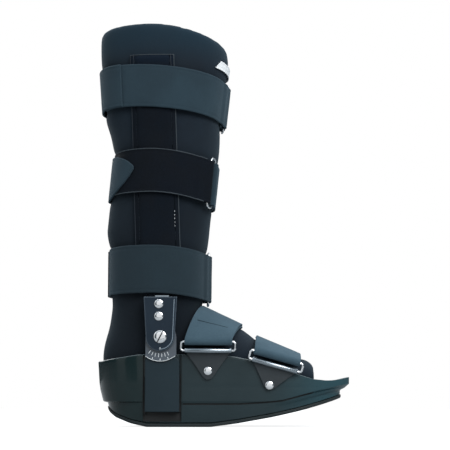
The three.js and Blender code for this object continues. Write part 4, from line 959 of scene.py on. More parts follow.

# %% [markdown]
# Each sleeve is bound with piping, which is pale along the front edge and the top and dark along the rear
# edge. Two seams show above the top strap. Rows of stitches follow both edges between the straps: they are
# dark thread, and one short row at the front is pale, as painted glints. A stitch is a short rounded bar,
# sunk halfway into the cloth.

# %% Piping and stitches of the sleeves
CORD_EDGE, CORD_LIFT, CORD_RADIUS, CORD_FOOT = 0.012, 1.5, 0.6, STAY_FOOT + 38
SEAM_EDGE, SEAM_LIFT, SEAM_RADIUS, SEAM_FOOT = 0.08, 3.1, 0.5, STAY_TOP - 18
REAR_LANE, FRONT_LANE, STITCH_LIFT = STITCH_INSET / STAY_WIDTH, 1 - STITCH_INSET / STAY_WIDTH, 2.6
DARK_ROWS = (
    # lane, from this height, to this height
    (REAR_LANE, 196, 243), (REAR_LANE, 298, 334), (FRONT_LANE, 196, 208), (FRONT_LANE, 298, 334),
    (REAR_LANE, 388, 394), (FRONT_LANE, 388, 394),
)
# Pale stitches on the front row: painted glints.
GLINT_ROWS = ((FRONT_LANE, 209, 232),)


def stitches(rows, side, length, gap, radius):
    parts = []
    for lane, low, high in rows:
        line = stay_line(lane, side, STITCH_LIFT, low, high)
        along = lengths_along(line)
        for start in np.arange(gap, along[-1] - length, length + gap):
            path = points_at(line, along, start + length * np.array([0, 0.12, 0.5, 0.88, 1]))
            path[:, 1] += side * radius * 0.35
            parts.append(tube(path, radius * np.array([0.35, 0.85, 1, 0.85, 0.35]), 6))
    return joined(parts)


for side, label in SIDES:
    cords = [stay_line(share, side, CORD_LIFT, low=CORD_FOOT) for share in (CORD_EDGE, 1 - CORD_EDGE)]
    rear_cord, front_cord = (tube(line, CORD_RADIUS, 8) for line in cords)
    lines = [stay_line(share, side, SEAM_LIFT, low=SEAM_FOOT) for share in (SEAM_EDGE, 1 - SEAM_EDGE)]
    seams = [tube(line, SEAM_RADIUS, 8) for line in lines]
    top = np.array([stay_line(share, side, 2.0)[-1] for share in np.linspace(CORD_EDGE, 1 - CORD_EDGE, 24)])
    top_cord = tube(top - (0, 0, 0.6), SEAM_RADIUS, 8)
    for name, parts, thread in (
        ("sleeve_piping", [front_cord, top_cord], piping_cloth),
        ("sleeve_rear_piping", [rear_cord, *seams], rear_piping),
        ("sleeve_stitches", [stitches(DARK_ROWS, side, 2.4, 0.9, 0.38)], dark_thread),
        ("sleeve_glint_stitches", [stitches(GLINT_ROWS, side, 1.5, 2.4, 0.36)], glint_thread),
    ):
        piece(f"{name}_{label}", joined(parts), thread, smooth=180)

# %% [markdown]
# The plastic hinge cover is a flat plate with a round lower end, and a block behind it that takes up the room
# to the sleeve. Its edge is eased as a mould needs, and a raised rib follows the front edge and the round
# end. The eased edge and the rib are painted lighter than the cover, as painted highlight. A white stroke on
# it points at the dial, and the metal end of the upright's bar looks out above it.

# %% Hinge covers
STAY_FACE = leg_section(COVER_TOP)["side"] + 2 * GAP + 0.6 + STAY_THICK
COVER_BLOCK, COVER_THICK, COVER_EASE = 3.5, 3.5, 0.9
COVER_BACK = STAY_FACE + COVER_BLOCK
COVER_FACE = COVER_BACK + COVER_THICK
POST_FACE = COVER_BACK - 2 * GAP - 2
COVER_RADIUS, COVER_HALF_TOP = 15.2, 17.7
POST_BACK, POST_FRONT, POST_FOOT, POST_SHOULDER, POST_GROOVE = 16, 20, 15.6, 71, 2.2


def round_foot(radius, back, front, top, half_top, steps=28):
    """Outline, as x and z, of a plate with a round lower end about the pivot."""
    turns = np.pi * (1 + np.linspace(0, 1, steps + 1))
    arc = [(np.clip(radius * math.cos(t), -back, front), PIVOT_HEIGHT + radius * math.sin(t)) for t in turns]
    return np.array(arc + [(half_top, top), (-half_top, top)])


def plate(outline, near, far, side):
    """A flat plate between two distances from the boot's middle plane."""
    faces = [[(x, side * y, z) for x, z in outline] for y in (near, far)]
    count = len(outline)
    points = np.array(faces[0] + faces[1])
    skin = [(k, (k + 1) % count, count + (k + 1) % count, count + k) for k in range(count)]
    return points, [*skin, tuple(range(count))[::-1], tuple(range(count, 2 * count))]


def rectangle(x0, x1, z0, z1):
    return np.array([(x0, z0), (x1, z0), (x1, z1), (x0, z1)])


def block(x0, x1, y0, y1, z0, z1):
    return plate(rectangle(x0, x1, z0, z1), min(y0, y1), max(y0, y1), 1)


def inset_line(outline, inset):
    """An outline drawn in towards its own middle by a fixed distance."""
    centre = np.array((0, outline[:, 1].mean()))
    ahead = unit(np.roll(outline, -1, 0) - np.roll(outline, 1, 0))
    out = np.stack([ahead[:, 1], -ahead[:, 0]], 1)
    out *= np.sign(np.einsum("ij,ij->i", out, outline - centre))[:, None]
    return outline - out * inset


COVER_OUTLINE = round_foot(COVER_RADIUS, COVER_RADIUS, COVER_RADIUS, COVER_TOP, COVER_HALF_TOP)
RIB_INSET, RIB_RADIUS, RIB_CORNERS = 2.2, 0.55, slice(13, 29)
BLOCK_FOOT = PIVOT_HEIGHT + POST_BACK + 2
BLOCK_HALF = np.interp(BLOCK_FOOT, [PIVOT_HEIGHT, COVER_TOP], [COVER_RADIUS, COVER_HALF_TOP])
INDEX_MARK = rectangle(-0.4, 0.4, 80.2, 82.6)


def cover_rib(side):
    arc = inset_line(COVER_OUTLINE, RIB_INSET)[RIB_CORNERS]
    rise = np.linspace(arc[-1], (COVER_HALF_TOP - 3.2, COVER_TOP - 2.5), 14)
    line = np.concatenate([arc, rise[1:]])
    path = np.stack([line[:, 0], np.full(len(line), side * (COVER_FACE + 0.1)), line[:, 1]], 1)
    return tube(path, np.concatenate([[0.15, 0.35], np.full(len(path) - 3, RIB_RADIUS), [0.3]]), 8)


for side, label in SIDES:
    slab = plate(COVER_OUTLINE, COVER_BACK, COVER_FACE, side)
    inner, outer = side * STAY_FACE, side * (COVER_BACK + 0.6)
    parts = joined([slab, block(-BLOCK_HALF, BLOCK_HALF, inner, outer, BLOCK_FOOT, COVER_TOP - 0.3)])
    solid = f"hinge_cover_{label}"
    cover = piece(f"hinge_cover_plate_{label}", parts, hinge_plastic, [solid])
    rounded(cover, COVER_EASE, 3)
    # The eased edge takes a painted highlight.
    cover.data.materials.append(hinge_bevel_highlight)
    cover.modifiers["eased_edges"].material = 1
    # The rib is painted light as a highlight.
    piece(f"hinge_cover_rib_{label}", cover_rib(side), hinge_rib_highlight, smooth=180)
    index = plate(INDEX_MARK, COVER_FACE - 0.1, COVER_FACE + 0.1, side)
    piece(f"hinge_index_{label}", index, dial_white, smooth=30)
    end = block(-6, 9, side * (STAY_FACE - 1.2), side * (STAY_FACE + 1.6), COVER_TOP - 1.5, COVER_TOP + 1.9)
    rounded(piece(f"stay_bar_end_{label}", end, roll_metal, smooth=30), 0.4)

# %% [markdown]
# Under the cover lies the dial, a thin fixed plate that shows how far the ankle may turn. Its marks are
# printed in white. Each mark is a thin bar of its own, standing a tenth of a millimetre proud, so the print
# stays crisp.

# %% Dial plates with their marks
DIAL_RADIUS, DIAL_FACE = 25.8, POST_FACE + GAP + 2
MARKS = (
    # degrees from straight down, from this radius, to this radius, width
    (range(-35, 26, 10), 17.3, 21.2, 0.55),
    (range(-20, 21, 20), 22.8, 24.4, 0.8),
)
RIM_LINE, RIM_LINE_TURN, RIM_LINE_RADIUS = DIAL_RADIUS - 0.5, 38, 0.32
DIAL_OUTLINE = round_foot(
    DIAL_RADIUS, POST_BACK - 0.4, POST_FRONT - 3.1, PIVOT_HEIGHT + DIAL_RADIUS * 0.5, POST_BACK - 2
)


def radial_bar(degrees, start, end, width, side):
    turn = math.radians(270 + degrees)
    way = np.array((math.cos(turn), math.sin(turn)))
    half = np.array((-math.sin(turn), math.cos(turn))) * width / 2
    corners = [way * start - half, way * end - half, way * end + half, way * start + half]
    return plate(np.array(corners) + (0, PIVOT_HEIGHT), DIAL_FACE - 0.1, DIAL_FACE + 0.12, side)


def dial_marks(side):
    bars = [radial_bar(turn, start, end, width, side) for turns, start, end, width in MARKS for turn in turns]
    turns = np.radians(270 + np.linspace(-RIM_LINE_TURN, RIM_LINE_TURN, 40))
    line = [(RIM_LINE * math.cos(t), side * DIAL_FACE, PIVOT_HEIGHT + RIM_LINE * math.sin(t)) for t in turns]
    return joined([*bars, tube(line, RIM_LINE_RADIUS, 6)])


for side, label in SIDES:
    body = plate(DIAL_OUTLINE, POST_FACE + GAP, DIAL_FACE, side)
    dial = piece(f"dial_{label}", body, dial_plastic, [f"dial_plate_{label}"])
    rounded(dial, 0.4)
    piece(f"dial_marks_{label}", dial_marks(side), dial_white, smooth=30)

# %% [markdown]
# Rivets are pressed: each is a low dome with a soft rim, made by turning a profile about its axis. The pivot
# is a screw, so its dome is cut across by a slot as wide as a driver's blade needs it.

# %% Rivets and pivot screws
SLOT_TURN, SLOT_DEPTH, SLOT_HALF = 62, 0.8, 0.7
HEAD_HEIGHT, SCREW_RADIUS, COVER_RIVET_RADIUS = 1.6, 6.75, 4.8
COVER_RIVET_X, COVER_RIVET_RISES = -1.5, (21.5, 34.5)
DOME = (
    # share of the radius, share of the height
    (0.0, 1.0), (0.25, 0.985), (0.5, 0.93), (0.7, 0.83), (0.84, 0.7), (0.94, 0.5), (0.99, 0.3), (1.0, 0.12),
    (1.0, 0.0),
)


def turned_head(x, z, face, side, radius, shank, sides=32):
    dome = [(share * radius, GAP + (HEAD_HEIGHT - GAP) * rise) for share, rise in DOME]
    profile = [*dome, (2.0, GAP), (2.0, -shank)]
    turns = np.linspace(0, 2 * np.pi, sides, endpoint=False)
    rings = []
    for r, h in profile[1:]:
        rings.append([(x + r * math.cos(t), side * (face + h), z + r * math.sin(t)) for t in turns])
    top = (x, side * (face + profile[0][1]), z)
    points, faces = swept(rings)
    points = np.concatenate([points, [top]])
    cap = faces.pop(-2)
    faces += [(cap[k], cap[(k + 1) % sides], len(points) - 1) for k in range(sides)]
    return points, faces


def bright_head(name, node, spot, side, radius, shank=4.0):
    """A head of bright metal. Its spot is x and z, and how far out its seat lies."""
    head = turned_head(*spot, side, radius, shank)
    return piece(name, head, bright_metal, [node], smooth=35)


def turned_block(skin, degrees):
    """A block at the pivot, turned about the pivot's own axis."""
    turn = math.radians(degrees)
    x, y, z = np.asarray(skin[0]).T
    spun = np.stack([x * math.cos(turn) - z * math.sin(turn), y, x * math.sin(turn) + z * math.cos(turn)], 1)
    return spun + (0, 0, PIVOT_HEIGHT), skin[1]


def cut_slot(made, cutter_skin):
    cutter = placed("slot_cutter", outward_mesh("slot_cutter", cutter_skin))
    cut = made.modifiers.new("slot", "BOOLEAN")
    cut.object, cut.operation, cut.solver = cutter, "DIFFERENCE", "EXACT"
    bpy.context.view_layer.update()
    baked = bpy.data.meshes.new_from_object(made.evaluated_get(bpy.context.evaluated_depsgraph_get()))
    made.modifiers.clear()
    made.data = baked
    bpy.data.objects.remove(cutter)
    made.data.set_sharp_from_angle(angle=math.radians(30))


def shade_slot(screw, side):
    """Gives the faces inside the slot a darker finish, as painted shade."""
    screw.data.materials.append(slot_shade)
    turn = math.radians(-side * SLOT_TURN)
    for face in screw.data.polygons:
        x, y, z = face.center / MM
        off = -x * math.sin(turn) + (z - PIVOT_HEIGHT) * math.cos(turn)
        if abs(off) < SLOT_HALF + 0.02 and abs(y) > COVER_FACE + SLOT_DEPTH - 0.1:
            face.material_index = 1


for side, label in SIDES:
    for number, rise in enumerate(COVER_RIVET_RISES, 1):
        name, solid = f"cover_rivet_{label}_{number}", f"hinge_rivet_{label}_{number}"
        bright_head(name, solid, (COVER_RIVET_X, PIVOT_HEIGHT + rise, COVER_FACE), side, COVER_RIVET_RADIUS)
    spot = (0, PIVOT_HEIGHT, COVER_FACE)
    screw = bright_head(f"pivot_{label}", f"pivot_screw_{label}", spot, side, SCREW_RADIUS)
    slot_floor = side * (COVER_FACE + SLOT_DEPTH)
    blade = block(-8, 8, slot_floor, slot_floor + side * 3, -SLOT_HALF, SLOT_HALF)
    cut_slot(screw, turned_block(blade, -side * SLOT_TURN))
    shade_slot(screw, side)

# %% [markdown]
# The foot shell is one moulding with a wall that is low at the toe and high at the ankle. Each place along
# it has its own plan width, wall edge and bed height. The tables are those of the solids. They are read at
# more places here, so that the moulded lines are real steps in the surface and not painted.

# %% Tables of the foot
SHELL_HALF_WIDTH, HEEL_REACH, TOE_REACH, SHELL_SIDE_TOP, SHELL_WALL = 57.5, 70.8, 203.4, 75.5, 3.8
OUTSOLE, LINER_TOE, INSTEP_TOP, FOREFOOT_TOP = 3.6, 164.7, 124.5, 64
SHELL_ROWS = np.array([
    # up, heel, toe, width
    (0, 0.31, 0.2, 0.93), (0.335, 0.2, 0.19, 0.965), (0.35, 0.115, 0.19, 0.975), (0.51, 0.06, 0.185, 0.985),
    (0.54, 0.055, 0.1, 0.985), (0.6, 0.04, 0.01, 0.99), (1.05, 0, 0, 1),
])
WALL_EDGE = np.array([
    (-1.1, 0.915), (-0.9, 0.92), (-0.34, 0.998), (0.12, 1), (0.37, 0.975), (0.45, 0.935), (0.58, 0.83),
    (0.71, 0.728), (0.79, 0.66), (0.87, 0.64), (0.93, 0.655), (1, 0.7), (1.05, 0.715),
])
ROCKER = np.array([
    (-0.9, 1.15), (-0.77, 0.74), (-0.68, 0.52), (-0.45, 0.2), (-0.2, 0), (0.26, 0), (0.4, 0.14),
    (0.585, 0.39), (0.72, 0.62), (0.835, 0.86), (0.9, 1.01), (1, 1.25),
])
HEEL_RISE, TOE_RISE, HEEL_ROUND, TOE_ROUND, END_POWER = 19, 27, 50, 78, 2.3
BED = np.array([(-1.1, 1), (0.4, 1), (0.5, 1.05), (0.62, 1.13), (0.77, 1.48), (0.92, 1.77), (1.05, 1.95)])
FOOT_ROWS = np.array([
    (0.1, 0.12), (0.225, 0), (0.27, 0), (0.4, 0.17), (0.525, 0.33), (0.56, 0.4), (0.61, 0.51), (0.635, 0.575),
    (0.76, 0.7), (0.895, 0.87), (0.93, 0.85), (0.97, 0.92), (1, 1),
])


def along_of(x):
    return x / HEEL_REACH if x < 0 else x / TOE_REACH


def bed_at(x):
    return FOOTBED * read_table(BED, along_of(x))[0]


def rocker_at(x):
    return (HEEL_RISE if x < 0 else TOE_RISE) * read_table(ROCKER, along_of(x))[0]


def wall_edge_at(x):
    return SHELL_SIDE_TOP * read_table(WALL_EDGE, along_of(x))[0]


def plan_half(x, heel, toe, half):
    """Half the width of an outline, which grows towards the ball of the foot and is round at both ends."""
    grow = np.clip((x + HEEL_REACH) / (HEEL_REACH + 0.55 * TOE_REACH), 0, 1)
    cap = np.clip(max((heel + HEEL_ROUND - x) / HEEL_ROUND, (x - toe + TOE_ROUND) / TOE_ROUND), 0, 1)
    return half * (0.93 + 0.07 * grow) * (1 - cap**END_POWER) ** (1 / END_POWER)


def shell_reach(z):
    heel, toe, width = read_table(SHELL_ROWS, z / SHELL_SIDE_TOP)
    return -HEEL_REACH + SHELL_HALF_WIDTH * heel, TOE_REACH - SHELL_HALF_WIDTH * toe, SHELL_HALF_WIDTH * width


def shell_half_at(x, z):
    return plan_half(x, *shell_reach(z))


def liner_top_at(x):
    return INSTEP_TOP - (INSTEP_TOP - FOREFOOT_TOP) * read_table(FOOT_ROWS, x / LINER_TOE)[0]


print("the shell is", round(2 * shell_half_at(90, 60), 1), "mm wide at the ball")

# %% [markdown]
# The shell's skin is a stack of closed outlines, from the sole up over a rounded lip and down the inside.
# Columns come in close pairs wherever a groove or a step has to be sharp. Heel and toe use their own spacing,
# so that the round ends are as smooth as the long sides. The lip's top rows are painted lighter as painted
# highlight, and the grooves, the recess and the seam are painted dark as painted shadow, by row and place.

# %% Outlines of the shell
HEEL_SPLIT, TOE_SPLIT, CAP_COLUMNS = -24.0, 110.0, 16
SHARP = 0.08
RECESS_FOOT, RECESS_DEPTH, GROOVE_DEPTH = 5.6, 3.2, 3.2
SEAM_START, SEAM_DEPTH, SEAM_HEIGHT, SEAM_FADE = POST_FRONT + POST_GROOVE + 1, 1.2, 1.6, 12
SEAM_DARK_END = TOE_REACH - 40
SOLE_OF_SHELL = OUTSOLE + GAP


def middle_columns():
    edges = [-POST_BACK - POST_GROOVE, -POST_BACK, POST_FRONT, POST_FRONT + POST_GROOVE, SEAM_START]
    pairs = [x + shift for x in edges for shift in (-SHARP, SHARP)]
    plain = [x for x in np.arange(HEEL_SPLIT, TOE_SPLIT + 1, 5.0) if min(abs(x - e) for e in edges) > 1.2]
    return np.array(sorted(set([HEEL_SPLIT, TOE_SPLIT, *pairs, *plain])))


MIDDLE = middle_columns()
SHELL_COLUMNS = 2 * (len(MIDDLE) + 2 * CAP_COLUMNS - 1)
LIP_ROWS = (
    # in from the outer face, up from the edge
    (0.25, -0.55), (0.75, -0.1), (1.4, 0.0), (SHELL_WALL - 1.2, 0.0), (SHELL_WALL - 0.5, -0.15),
    (SHELL_WALL, -0.9),
)
SEAM_TOP = FOOTBED + SEAM_HEIGHT
WALL_LEVELS = (
    SOLE_OF_SHELL, SOLE_OF_SHELL + 0.9, RECESS_FOOT - SHARP, RECESS_FOOT + SHARP, 9, 12.5, POST_FOOT - SHARP,
    POST_FOOT + SHARP, 19, FOOTBED - SHARP, FOOTBED + SHARP, SEAM_TOP - SHARP, SEAM_TOP + SHARP, 25.25, 25.8,
    26.45, 27.2, 29, 32, 35, 38.2, 39.2, 40.4, 41.2, 43, 45, 46, 49, 53, 58, 63, 68, 72, 74.2,
)
INSIDE_LEVELS = (72, 66, 58, 50, 44, 38, 32, 28, SEAM_TOP + 1.2)
EDGE_ROWS = range(len(WALL_LEVELS), len(WALL_LEVELS) + 2)
SEAM_ROWS = range(WALL_LEVELS.index(FOOTBED - SHARP), WALL_LEVELS.index(SEAM_TOP - SHARP) + 1)
GROOVES = ((-POST_BACK - POST_GROOVE, -POST_BACK), (POST_FRONT, POST_FRONT + POST_GROOVE))


def columns_between(heel, toe, middle=MIDDLE):
    quarter = np.linspace(0, np.pi / 2, CAP_COLUMNS + 1)
    rear = heel + (HEEL_SPLIT - heel) * (1 - np.cos(quarter))
    fore = TOE_SPLIT + (toe - TOE_SPLIT) * np.sin(quarter)
    return np.concatenate([rear[:-1], middle, fore[1:]])


def mirrored(near):
    """A closed outline from its near half: heel, near side, toe, far side."""
    near = np.array(near)
    near[0, 1] = near[-1, 1] = 0
    return np.concatenate([near, near[-2:0:-1] * (1, -1, 1)])


def wall_height(x, level):
    """Height of a level of the wall. Levels are the heights at the ankle, where bed and edge are flat."""
    sole, bed = rocker_at(x) + SOLE_OF_SHELL, bed_at(x)
    heights = [sole, bed, bed + SEAM_HEIGHT, wall_edge_at(x)]
    return np.interp(level, [SOLE_OF_SHELL, FOOTBED, SEAM_TOP, SHELL_SIDE_TOP], heights)


def outline_at(level, inset, relief=None):
    """One closed outline at a level, drawn in by an inset."""
    near = []
    heel, toe, _ = shell_reach(wall_height(0, level))
    xs = columns_between(heel + inset, toe - inset)
    for _ in range(3):
        ends = [shell_reach(wall_height(x, level))[k] for x, k in ((xs[0], 0), (xs[-1], 1))]
        xs = columns_between(ends[0] + inset, ends[1] - inset)
    for x in xs:
        z = wall_height(x, level)
        heel, toe, half = shell_reach(z)
        y = plan_half(x, min(heel + inset, xs[0]), max(toe - inset, xs[-1]), half - inset)
        if relief is not None:
            y = relief(x, z, y, level)
        near.append((x, -y, z))
    return mirrored(near)


def moulded_lines(x, z, y, level):
    """The grooves beside the post, the recess under it and the seam along the side."""
    if GROOVES[0][0] < x < GROOVES[1][1] and z > RECESS_FOOT:
        beside = x < -POST_BACK or x > POST_FRONT
        if z < POST_FOOT:
            return min(y, shell_half_at(0, POST_FOOT) - RECESS_DEPTH)
        return shell_half_at(x, SHELL_SIDE_TOP / 2) - GROOVE_DEPTH if beside else min(y, shell_half_at(x, z))
    if x > SEAM_START and FOOTBED < level < SEAM_TOP:
        to_toe = max(0.0, TOE_REACH - SEAM_FADE - x)
        return y - SEAM_DEPTH * min(1, to_toe / SEAM_FADE)
    return y


def floor_faces(start, half_count, flip=False):
    """Quads across the boot, between the near and the far half of one outline."""
    total = 2 * half_count
    faces = []
    for k in range(half_count):
        quad = [start + k, start + k + 1, start + (total - k - 1) % total, start + (total - k) % total]
        quad = [v for n, v in enumerate(quad) if v not in quad[:n]]
        faces.append(tuple(quad[::-1] if flip else quad))
    return faces


def stacked(rings):
    """A closed skin over a stack of outlines, with a floor at both ends."""
    columns = len(rings[0])
    half, last = columns // 2, (len(rings) - 1) * columns
    faces = grid_faces(len(rings), columns) + floor_faces(0, half) + floor_faces(last, half, flip=True)
    return np.concatenate(rings), faces


def make_shell():
    outside = [outline_at(level, 0.0, moulded_lines) for level in WALL_LEVELS[1:]]
    lip = [outline_at(SHELL_SIDE_TOP, inset) + (0, 0, rise) for inset, rise in LIP_ROWS]
    inside = [outline_at(level, SHELL_WALL) for level in INSIDE_LEVELS]
    sole, bed = outline_at(SOLE_OF_SHELL, 0.9, moulded_lines), outline_at(FOOTBED, SHELL_WALL + 1.5)
    return stacked([sole, *outside, *lip, *inside, bed])


shell = piece("shell_moulding", make_shell(), shell_plastic, ["foot_shell"], smooth=32)
# The lip's top rows get a painted highlight.
shell.data.materials.append(shell_lip_highlight)
shell.data.materials.append(shell_shadow)
for face in shell.data.polygons:
    row, (x, _, z) = face.index // SHELL_COLUMNS, face.center / MM
    recess = GROOVES[0][0] < x < GROOVES[1][1] and RECESS_FOOT < z < POST_FOOT + 1
    groove = z > POST_FOOT and any(start < x < end for start, end in GROOVES)
    seam = row in SEAM_ROWS and SEAM_START < x < SEAM_DARK_END
    # Lip rows: painted highlight.
    if row in EDGE_ROWS:
        face.material_index = 1
    # Recess, grooves and seam: painted shadow.
    elif row < EDGE_ROWS[0] and (recess or groove or seam):
        face.material_index = 2

# %% [markdown]
# On each side a post stands up from the shell and carries the ankle pivot. It is a flat panel with a round
# head. Its face stands a little proud of the wall, with a narrow groove in the shell beside it on each side,
# and these grooves are painted dark as painted shadow.

# %% Posts of the shell
POST_TOP_RISE = 15


def post_outline():
    turns = np.linspace(0, np.pi, 25)
    head = [(COVER_RADIUS * math.cos(t), PIVOT_HEIGHT + POST_TOP_RISE * math.sin(t)) for t in turns]
    left = [(-COVER_RADIUS, POST_SHOULDER + 1.5), (-POST_BACK, POST_SHOULDER - 1), (-POST_BACK, POST_FOOT)]
    right = [(POST_FRONT, POST_FOOT), (POST_FRONT, POST_SHOULDER - 3), (POST_FRONT - 2, POST_SHOULDER)]
    return np.array([*head, *left, *right, (COVER_RADIUS, POST_SHOULDER + 1.5)])


POST_INNER = leg_section(PIVOT_HEIGHT)["side"] + 2 * GAP
for side, label in SIDES:
    body = plate(post_outline(), POST_INNER, POST_FACE, side)
    rounded(piece(f"shell_post_{label}", body, post_plastic), 0.8, 3)

# %% [markdown]
# The outsole is a thin rubber strip that follows the rocker. It stands a millimetre proud of the shell all
# round, and cross grooves under it give grip and let water out.

# %% Outsole
LIP = 1.0
TREAD_PITCH, TREAD_CUT, TREAD_DEPTH = 9.0, 2.4, 1.1
SOLE_COLUMNS = np.arange(HEEL_SPLIT, TOE_SPLIT + 0.1, 2.0)
SOLE_ROWS = (
    # up from the floor, in from the lip
    (0, 5), (0, 3.5), (0, 0.7), (0.25, 0.2), (0.8, 0), (2.6, 0), (3.3, 0.15), (3.6, 0.6), (3.6, 4),
)


def sole_ring(lift, inset, tread):
    near = []
    heel, toe, _ = shell_reach(0)
    for _ in range(4):
        heel = shell_reach(rocker_at(heel) + lift)[0] - LIP + inset
        toe = shell_reach(rocker_at(toe) + lift)[1] + LIP - inset
    for x in columns_between(heel, toe, SOLE_COLUMNS):
        z = rocker_at(x) + lift
        row_heel, row_toe, half = shell_reach(z)
        out = LIP - inset
        y = plan_half(x, min(row_heel - out, heel), max(row_toe + out, toe), half + out)
        cut = tread and abs((x % TREAD_PITCH) - TREAD_PITCH / 2) < TREAD_CUT / 2
        near.append((x, -y, z + (TREAD_DEPTH if cut else 0)))
    return mirrored(near)


sole = stacked([sole_ring(lift, inset, tread=k == 0) for k, (lift, inset) in enumerate(SOLE_ROWS)])
piece("rubber_outsole", sole, sole_rubber, ["outsole"], smooth=40)

# %% [markdown]
# Two straps cross the foot. Each starts as a loose end on top, goes through a wire ring on the near side,
# comes back under itself over the instep, and is riveted to the far wall. Its two edges follow the foot's
# own profile, so the webbing drapes without being pulled out of width.

# %% Foot straps
FOOT_STRAP_WIDTH, FOOT_RING_OPENING, FOOT_STRAP_TAIL = 50, 9.2, 20
ROLL_RADIUS = WIRE_RADIUS + GAP + 1
RING_FACE = SHELL_HALF_WIDTH + ROLL_RADIUS + 1.2
FOOT_STRAPS = {
    "instep": {
        "at": 0.305, "crest": 0.398, "crest_width": 0.86, "rise": 0.063, "slope": -0.008, "tab": 0.6,
        "rivet": 0.422,
    },
    "toe": {
        "at": 0.7286, "crest": 0.762, "crest_width": 0.94, "rise": 0.0229, "slope": -0.275, "tab": 0.52,
        "rivet": 0.426,
    },
}
ARCH_RUN, NEAR_FALL, FAR_FALL = 1.9, 3.1, 3.5


def foot_lift(layer):
    return GAP + 0.7 + WEB / 2 + layer * (WEB + GAP)


def ring_frame(spec):
    long, up = unit((1, 0, spec["slope"])), unit((-spec["slope"], 0, 1))
    x = spec["at"] * LINER_TOE
    return long, up, np.array((x, -RING_FACE, wall_edge_at(x) + spec["rise"] * SHELL_SIDE_TOP))


def arch_point(crest_x, foot, share, lift):
    crest_z = liner_top_at(crest_x) + lift
    x = crest_x + (foot[0] - crest_x) * share**ARCH_RUN
    z = crest_z + (foot[2] - crest_z) * share ** (NEAR_FALL if foot[1] < 0 else FAR_FALL)
    return np.array((x, foot[1] * share, z))


def far_webbing(spec):
    spots = [spec["at"] * LINER_TOE + place * FOOT_STRAP_WIDTH / 2 for place in (-1, -0.5, 0, 0.5, 1)]
    return max(shell_half_at(x, wall_edge_at(x)) for x in spots) + GAP + WEB / 2


def foot_strap_edge(spec, place):
    long, up, bar = ring_frame(spec)
    upper = bar + up * FOOT_RING_OPENING + long * place * FOOT_STRAP_WIDTH / 2
    crest_x = spec["crest"] * LINER_TOE + place * spec["crest_width"] * FOOT_STRAP_WIDTH / 2

    def off_bar(side, rise):
        return upper + (0, side * FOLD_RADIUS, 0) + up * rise

    shares = 1 - (1 - np.linspace(0, 1, 20)) ** 1.25
    start = off_bar(1, 2) * (1, 0, 1) + (0, RING_FACE, 0)
    loose = [arch_point(crest_x, start, s, foot_lift(1)) for s in (0.28, 0.21, 0.14, 0.07)]
    outer = [arch_point(crest_x, off_bar(-1, 2.5), s, foot_lift(1)) for s in shares]
    turns = np.pi * np.linspace(0, 1, 13)
    fold = [upper + (0, -FOLD_RADIUS * math.cos(t), 0) - up * FOLD_RADIUS * math.sin(t) for t in turns]
    inner = [arch_point(crest_x, off_bar(1, 2.5), s, foot_lift(0)) for s in shares[::-1]]
    edge = wall_edge_at(upper[0])
    foot = np.array((upper[0], far_webbing(spec), edge + 4))
    far = [arch_point(crest_x, foot, s, foot_lift(0)) for s in shares[1:]]
    tail = [foot * (1, 1, 0) + (0, 0, edge + 4 - s * (FOOT_STRAP_TAIL + 4)) for s in (0.15, 0.3, 0.6, 1)]
    return np.array([*loose, *outer, *fold, *inner, *far, *tail])


for name, spec in FOOT_STRAPS.items():
    lines = [foot_strap_edge(spec, place) for place in (-1, 1)]
    webbing(f"{name}_webbing", f"{name}_strap", lines, "foot_webbing")
    long, up, bar = ring_frame(spec)
    half_long, half_short = FOOT_STRAP_WIDTH / 2 + BAR_OVERHANG, FOOT_RING_OPENING / 2
    loop = ring_line(bar + up * half_short, long, up, half_long, half_short)
    wire_ring(f"{name}_wire_ring", f"{name}_ring", loop)

# %% [markdown]
# The instep strap's lower layer ends in a sewn lap, which shows as a faint line across the webbing. A thin
# raised thread follows the outer face from one edge of the strap to the other.

# %% Lap seam of the instep strap
SEAM_PLACE, THREAD_RADIUS = 17, 0.32


def lap_seam(spec):
    rear, fore = (foot_strap_edge(spec, place) for place in (-1, 1))
    start = rear[SEAM_PLACE]
    across = fore[SEAM_PLACE] - start
    out = unit(np.cross(rear[SEAM_PLACE + 1] - start, across))
    out = out if out[1] < 0 else -out
    path = [start + across * s + out * (WEB / 2 + 0.05) for s in np.linspace(0.12, 0.8, 24)]
    return tube(path, THREAD_RADIUS, 6)


piece("instep_lap_seam", lap_seam(FOOT_STRAPS["instep"]), leg_webbing, smooth=180)

# %% [markdown]
# A triangular plastic tab holds each ring to the shell. It hangs from the ring's lower bar in a bright
# metal roll, narrows to a rounded tip, and has one rivet in its middle. It follows the shell's curve at a
# small distance. On the far side a rivet of the same size holds the strap itself.

# %% Ring tabs
TAB_THICK, TAB_SEAT, TAB_RIVET_RADIUS = 2, 0.2, 4.5
TAB_DOWNS = (0.03, 0.07, 0.15, 0.24, 0.33, 0.42, 0.5, 0.58, 0.66, 0.74, 0.81, 0.87, 0.92, 0.96, 0.985, 1.0)
TAB_ROWS = np.array([(0.02, 0.98), (0.33, 0.69), (0.66, 0.41), (0.86, 0.25), (0.96, 0.14), (1.0, 0.05)])


def make_tab(spec):
    long, up, bar = ring_frame(spec)
    inner = []
    for down in TAB_DOWNS:
        wide = read_table(TAB_ROWS, down)[0]
        towards_roll = 0.8 * max(0, 1 - 3 * down)
        for j in np.linspace(-0.5, 0.5, 15):
            point = bar - up * down * spec["tab"] * FOOT_STRAP_WIDTH + long * FOOT_STRAP_WIDTH * wide * j
            base = shell_half_at(point[0], point[2]) + GAP + TAB_SEAT + towards_roll
            inner.append((point[0], -base, point[2]))
    inner = np.array(inner).reshape(len(TAB_DOWNS), -1, 3)
    return swept(np.concatenate([inner - (0, TAB_THICK, 0), inner[:, ::-1]], axis=1))


